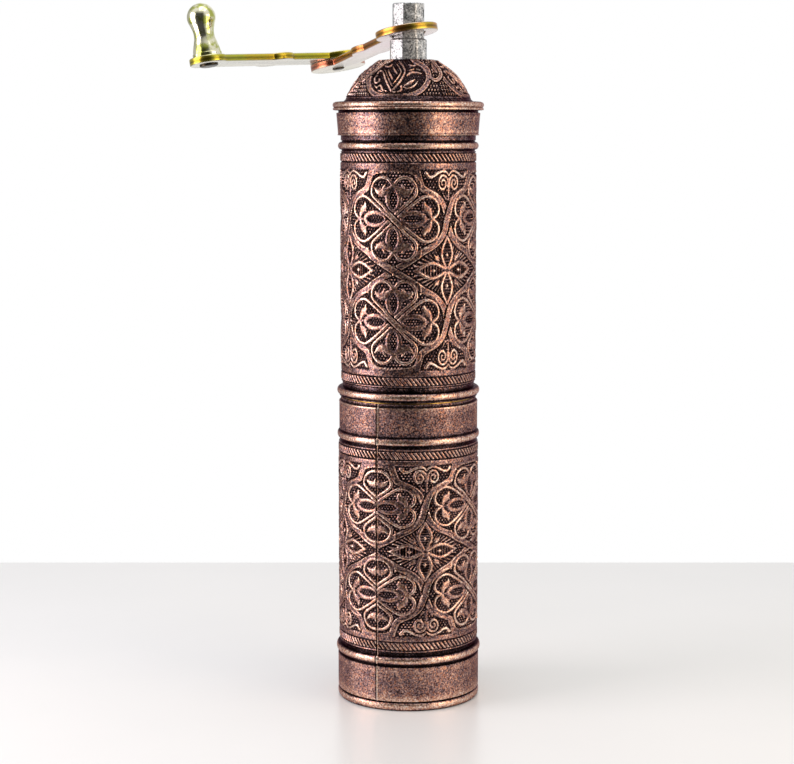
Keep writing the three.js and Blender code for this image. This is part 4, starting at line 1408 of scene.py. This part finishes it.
def crank():
    inner, outer, length = seat_frames()
    tilt = math.acos(inner.col[2].z)
    along_azimuth = math.degrees(math.atan2(inner.col[0].y, inner.col[0].x))
    lean = ARM_THICKNESS / 2 * math.tan(tilt)
    hole_radius = (HEAD_UPPER * OCTAGON_FLAT / math.cos(tilt) + lean + HEAD_PLAY) / OCTAGON_FLAT
    up = inner.inverted().to_3x3() @ Vector((0, 0, 1))
    shift = Vector((up.x, up.y)).normalized() * lean
    octagon = ring_points(hole_radius, 8, HEAD_TURN - 90 - along_azimuth, shift)
    pivot = ring_points(RIVET_RADIUS + PIVOT_PLAY, 40, 0, (length, 0))
    bosses = (HEAD_BOSS_SHIFT, HEAD_BOSS), (length, PIVOT_BOSS)
    arm("inner_arm", length, bosses, [octagon, pivot], inner, (0.55, 1.0))
    turning = ring_points(RIVET_RADIUS + PIVOT_PLAY, 40)
    gripping = ring_points(KNOB_PIN_RADIUS + GRIP_PLAY, 36, 0, (length, 0))
    bosses = (0, PIVOT_BOSS), (length, KNOB_BOSS)
    arm("outer_arm", length, bosses, [turning, gripping], outer, (0.5, 0.0))
    pivot_pin(inner, outer, length)
    knob(outer, length)


def turned_on(stand, along, up, name, outline, steps, *dressing):
    """A turned piece on one of the crank's frames, so far along it and above it."""
    obj = turned(name, outline, steps)
    moved(obj, stand @ Matrix.Translation((along, 0, up)))
    dress(obj, *dressing)


def pivot_pin(inner, outer, length):
    """The rivet that the two arms turn on, with a domed head above and its flat end below."""
    top = (outer.translation - inner.translation).dot(inner.col[2].xyz) + ARM_THICKNESS + REST_GAP
    outline = [
        (POLE, -0.45), (0.9, -0.45), (1.5, -0.4), (RIVET_RADIUS, -0.2), (RIVET_RADIUS, top),
        *offsets((0, top), [(3.1, 0), (3.1, 0.2), (2.8, 0.5), (2.1, 0.75), (1.1, 0.87), (POLE, 0.9)]),
    ]
    # The stud is coloured near-black brown as painted shade.
    turned_on(inner, length, 0, "pivot_stud", outline, 40, "inner_arm", "browned_rivet", "pivot_rivet")


def knob(outer, length):
    """A turned knob with a collar, a waist and a ball, on a pin riveted under the arm."""
    top = ARM_THICKNESS + KNOB_PIN_REACH
    pin = [
        (POLE, -0.62), (1.2, -0.68), (2.3, -0.7), (2.75, -0.5), (2.85, -0.2), (2.8, -0.05),
        (KNOB_PIN_RADIUS, -0.05), (KNOB_PIN_RADIUS, top - 0.3), (KNOB_PIN_RADIUS - 0.3, top), (POLE, top),
    ]
    # The pin shares the studs' near-black brown of painted shade.
    turned_on(outer, length, 0, "knob_stud", pin, 40, "outer_arm", "browned_rivet", "knob_pin")
    bore = KNOB_PIN_RADIUS + KNOB_PLAY
    centre = KNOB_HEIGHT - KNOB_BALL
    side = curve([
        (4.42, 0.1), (4.45, 1.0), (4.3, 1.16), (4.26, 1.3), (4.05, 2.6), (3.55, 4.4), (3.15, 6.2),
        (3.2, 8.0), (3.72, 9.7), (4.2, 11.0), (KNOB_BALL, centre),
        *offsets((0, centre), [(4.22, 1.15), (3.78, 2.2), (3.05, 3.13), (2.1, 3.84), (1.05, 4.25)]),
    ], 4)
    outline = [
        (POLE, KNOB_BORE_DEPTH), (bore, KNOB_BORE_DEPTH), (bore, 0), (4.3, 0), *side, (POLE, KNOB_HEIGHT),
    ]
    base = ARM_THICKNESS + REST_GAP
    turned_on(outer, length, base, "crank_knob", outline, 72, "knob", "knob_brass", "knob")


def drive_head():
    """A stepped octagonal casting with softened edges and a slightly uneven skin."""
    low, high = box_mm("drive_head")
    bottom, top = low[2], high[2]
    shoulder = top - HEAD_SHOULDER_DROP
    turn = HEAD_TURN - 90
    obj = prism("head_casting", ring_points(HEAD_LOWER, 8, turn), bottom, shoulder)
    combine(obj, prism("head_stem", ring_points(HEAD_UPPER, 8, turn), shoulder - 1, top), "UNION")
    bore = box_mm("spindle")[1][2] + FIT_GAP
    combine(obj, prism("bore", ring_points(HEAD_BORE, 40), bottom - 1, bore))
    bevel(obj, HEAD_ROUND, 4)
    dress(obj, "spindle", "head_casting", "drive_head")


def softened_copy(node, body, finish, width=0.0):
    """A copy of a CAD node with its flat faces joined and its edges rounded."""
    source = frame["nodes"][node]
    obj = source.copy()
    obj.data = source.data.copy()
    obj.name = obj.data.name = f"{node}_softened"
    bpy.context.scene.collection.objects.link(obj)
    obj.data.transform(source.matrix_world)
    obj.parent = None
    obj.matrix_world = Matrix.Identity(4)
    edit(obj, merged(1e-6), outward)
    if width:
        edit(obj, lambda: bpy.ops.mesh.dissolve_limited(angle_limit=math.radians(0.6)))
        bevel(obj, width, 2, 30)
    return dress(obj, body, finish, node, 35)


def inner_works():
    """The working parts inside, each with its body, its finish and how far its edges are rounded."""
    for part in (
        ("upper_bridge", "barrel", "bright_steel", 0.25), ("upper_bush", "barrel", "plain_brass", 0.2),
        ("outer_burr", "barrel", "burr_iron", 0.12), ("lower_bridge", "barrel", "bright_steel", 0.25),
        ("bridge_screw_1", "barrel", "bright_steel", 0.15),
        ("bridge_screw_2", "barrel", "bright_steel", 0.15),
        ("jam_nut", "barrel", "bright_steel", 0.2), ("adjust_screw", "adjust_screw", "bright_steel", 0.15),
        ("thrust_ball", "thrust_ball", "bright_steel"), ("spindle", "spindle", "bright_steel", 0.2),
        ("inner_burr", "spindle", "burr_iron", 0.12), ("burr_nut", "spindle", "bright_steel", 0.2),
        ("spring_collar", "spindle", "bright_steel", 0.15), ("head_pin", "spindle", "bright_steel", 0.12),
    ):
        softened_copy(*part)
    spring = softened_copy("spring", None, "bright_steel")
    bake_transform(spring)


# Stage

FLOOR_BACK = 180
FLOOR_DROP = 0.03
FLOOR_FRONT = -120
FLOOR_HALF_WIDTH = 900
FILL = 0.6
TENT_SHADE = 0.06
TENT_FRONT = 0.72
TENT_DARK_SIDE = 0.3
TENT_BACK = 0.16
TENT_TOP = 0.9
SOFTBOX_BOTTOM = 2
SOFTBOX_HEIGHT = 400
SOFTBOX_DISTANCE = 400
OVERHEAD_SIZE = 600
OVERHEAD_POWER = 1.2
OVERHEAD_PLACE = (100, -150, 900)


def floor():
    """A hair below the foot, so that the two never share a plane."""
    deselect()
    bpy.ops.mesh.primitive_plane_add(size=2)
    corners = coordinates(bpy.context.object)
    y = np.where(corners[:, 1] > 0, FLOOR_BACK, FLOOR_FRONT)
    z = np.full(len(corners), -FLOOR_DROP)
    obj = started("floor", np.column_stack([corners[:, 0] * FLOOR_HALF_WIDTH, y, z]))
    f = Finish("pale_floor", Roughness=0.28)
    cloud = f.noise(60, 2)
    obj.data.materials.append(f.finish(Base_Color=f.mix(cloud, "eff1f2", "f5f6f7")))
    obj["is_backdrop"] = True


def added(name, data):
    """A new object for a camera or a light."""
    obj = bpy.data.objects.new(name, data)
    bpy.context.scene.collection.objects.link(obj)
    return obj


def camera():
    data = bpy.data.cameras.new("camera")
    data.sensor_width = SENSOR_WIDTH
    data.lens = FOCAL_PIXELS / IMAGE_WIDTH * SENSOR_WIDTH
    data.shift_x = (IMAGE_WIDTH / 2 - AXIS_COLUMN) / IMAGE_WIDTH
    data.clip_start = 0.01
    obj = added("camera", data)
    obj.location = (0, -EYE_DISTANCE * MM, EYE_HEIGHT * MM)
    obj.rotation_euler = (math.radians(90 - EYE_PITCH), 0, 0)
    bpy.context.scene.camera = obj


def world():
    """White to the camera and behind the piece. In front the metal sees a tent with dark openings."""
    made = bpy.data.worlds.new("studio")
    made.use_nodes = True
    bpy.context.scene.world = made
    n = Nodes(made.node_tree)
    background = made.node_tree.nodes["Background"]
    n.put(background.inputs["Color"], "ffffff")
    direction = n.node("ShaderNodeTexCoord")
    x, y, z = (n.node("ShaderNodeSeparateXYZ", None, {0: direction}, k) for k in range(3))
    azimuth = n.node("ShaderNodeMath", {"operation": "ARCTAN2"}, {0: x, 1: 0 - y}) * (180 / math.pi)
    leftward = 0 - azimuth
    right = azimuth.between(16, 44)
    left = leftward.between(34, 60)
    far_left = leftward.between(98, 116) - leftward.between(150, 175)
    behind = azimuth.between(148, 168) + leftward.between(148, 168)
    tent = TENT_SHADE + right * TENT_FRONT + left * TENT_FRONT
    tent = tent - far_left * TENT_DARK_SIDE + behind * TENT_BACK
    overhead = z.between(0.45, 0.9)
    tent = tent * (1 - overhead) + overhead * TENT_TOP
    camera_ray = n.node("ShaderNodeLightPath")
    glossy_ray = n.node("ShaderNodeLightPath", out=3)
    other_ray = 1 - camera_ray - glossy_ray
    n.put(background.inputs["Strength"], camera_ray + glossy_ray * tent + other_ray * FILL)


def softbox(name, azimuth, width, level, colour):
    """An upright panel of light on the floor, turned to the piece. level is how bright it looks."""
    data = bpy.data.lights.new(name, "AREA")
    data.shape = "RECTANGLE"
    data.size, data.size_y = width * MM, SOFTBOX_HEIGHT * MM
    data.energy = level * math.pi * data.size * data.size_y
    data.color = linear(colour)[:3]
    obj = added(name, data)
    turn = math.radians(azimuth)
    offset = Vector((math.sin(turn), -math.cos(turn), 0)) * SOFTBOX_DISTANCE * MM
    obj.location = offset + Vector((0, 0, (SOFTBOX_BOTTOM + SOFTBOX_HEIGHT / 2) * MM))
    obj.visible_camera = False
    obj.rotation_euler = offset.to_track_quat("Z", "Y").to_euler()


def lights():
    softbox("left_softbox", -73, 270, 4.2, "fff2f2")
    softbox("right_softbox", 60, 250, 2.35, "ffe4c4")
    data = bpy.data.lights.new("overhead", "AREA")
    data.size = OVERHEAD_SIZE * MM
    data.energy = OVERHEAD_POWER
    added("overhead", data).location = Vector(OVERHEAD_PLACE) * MM


for build in (
    camera, floor, world, lights, barrel_panel, cup_panel, cup_rings, cup_foot, barrel_rings,
    lid_ring, dome, ferrule, lid_seat, sleeve, drive_head, crank, inner_works,
):
    build()

bpy.context.scene.view_settings.view_transform = "Standard"
sizes = {"cad": cad_box, "visual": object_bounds()}
{key: [list(corner) for corner in box] for key, box in sizes.items()}
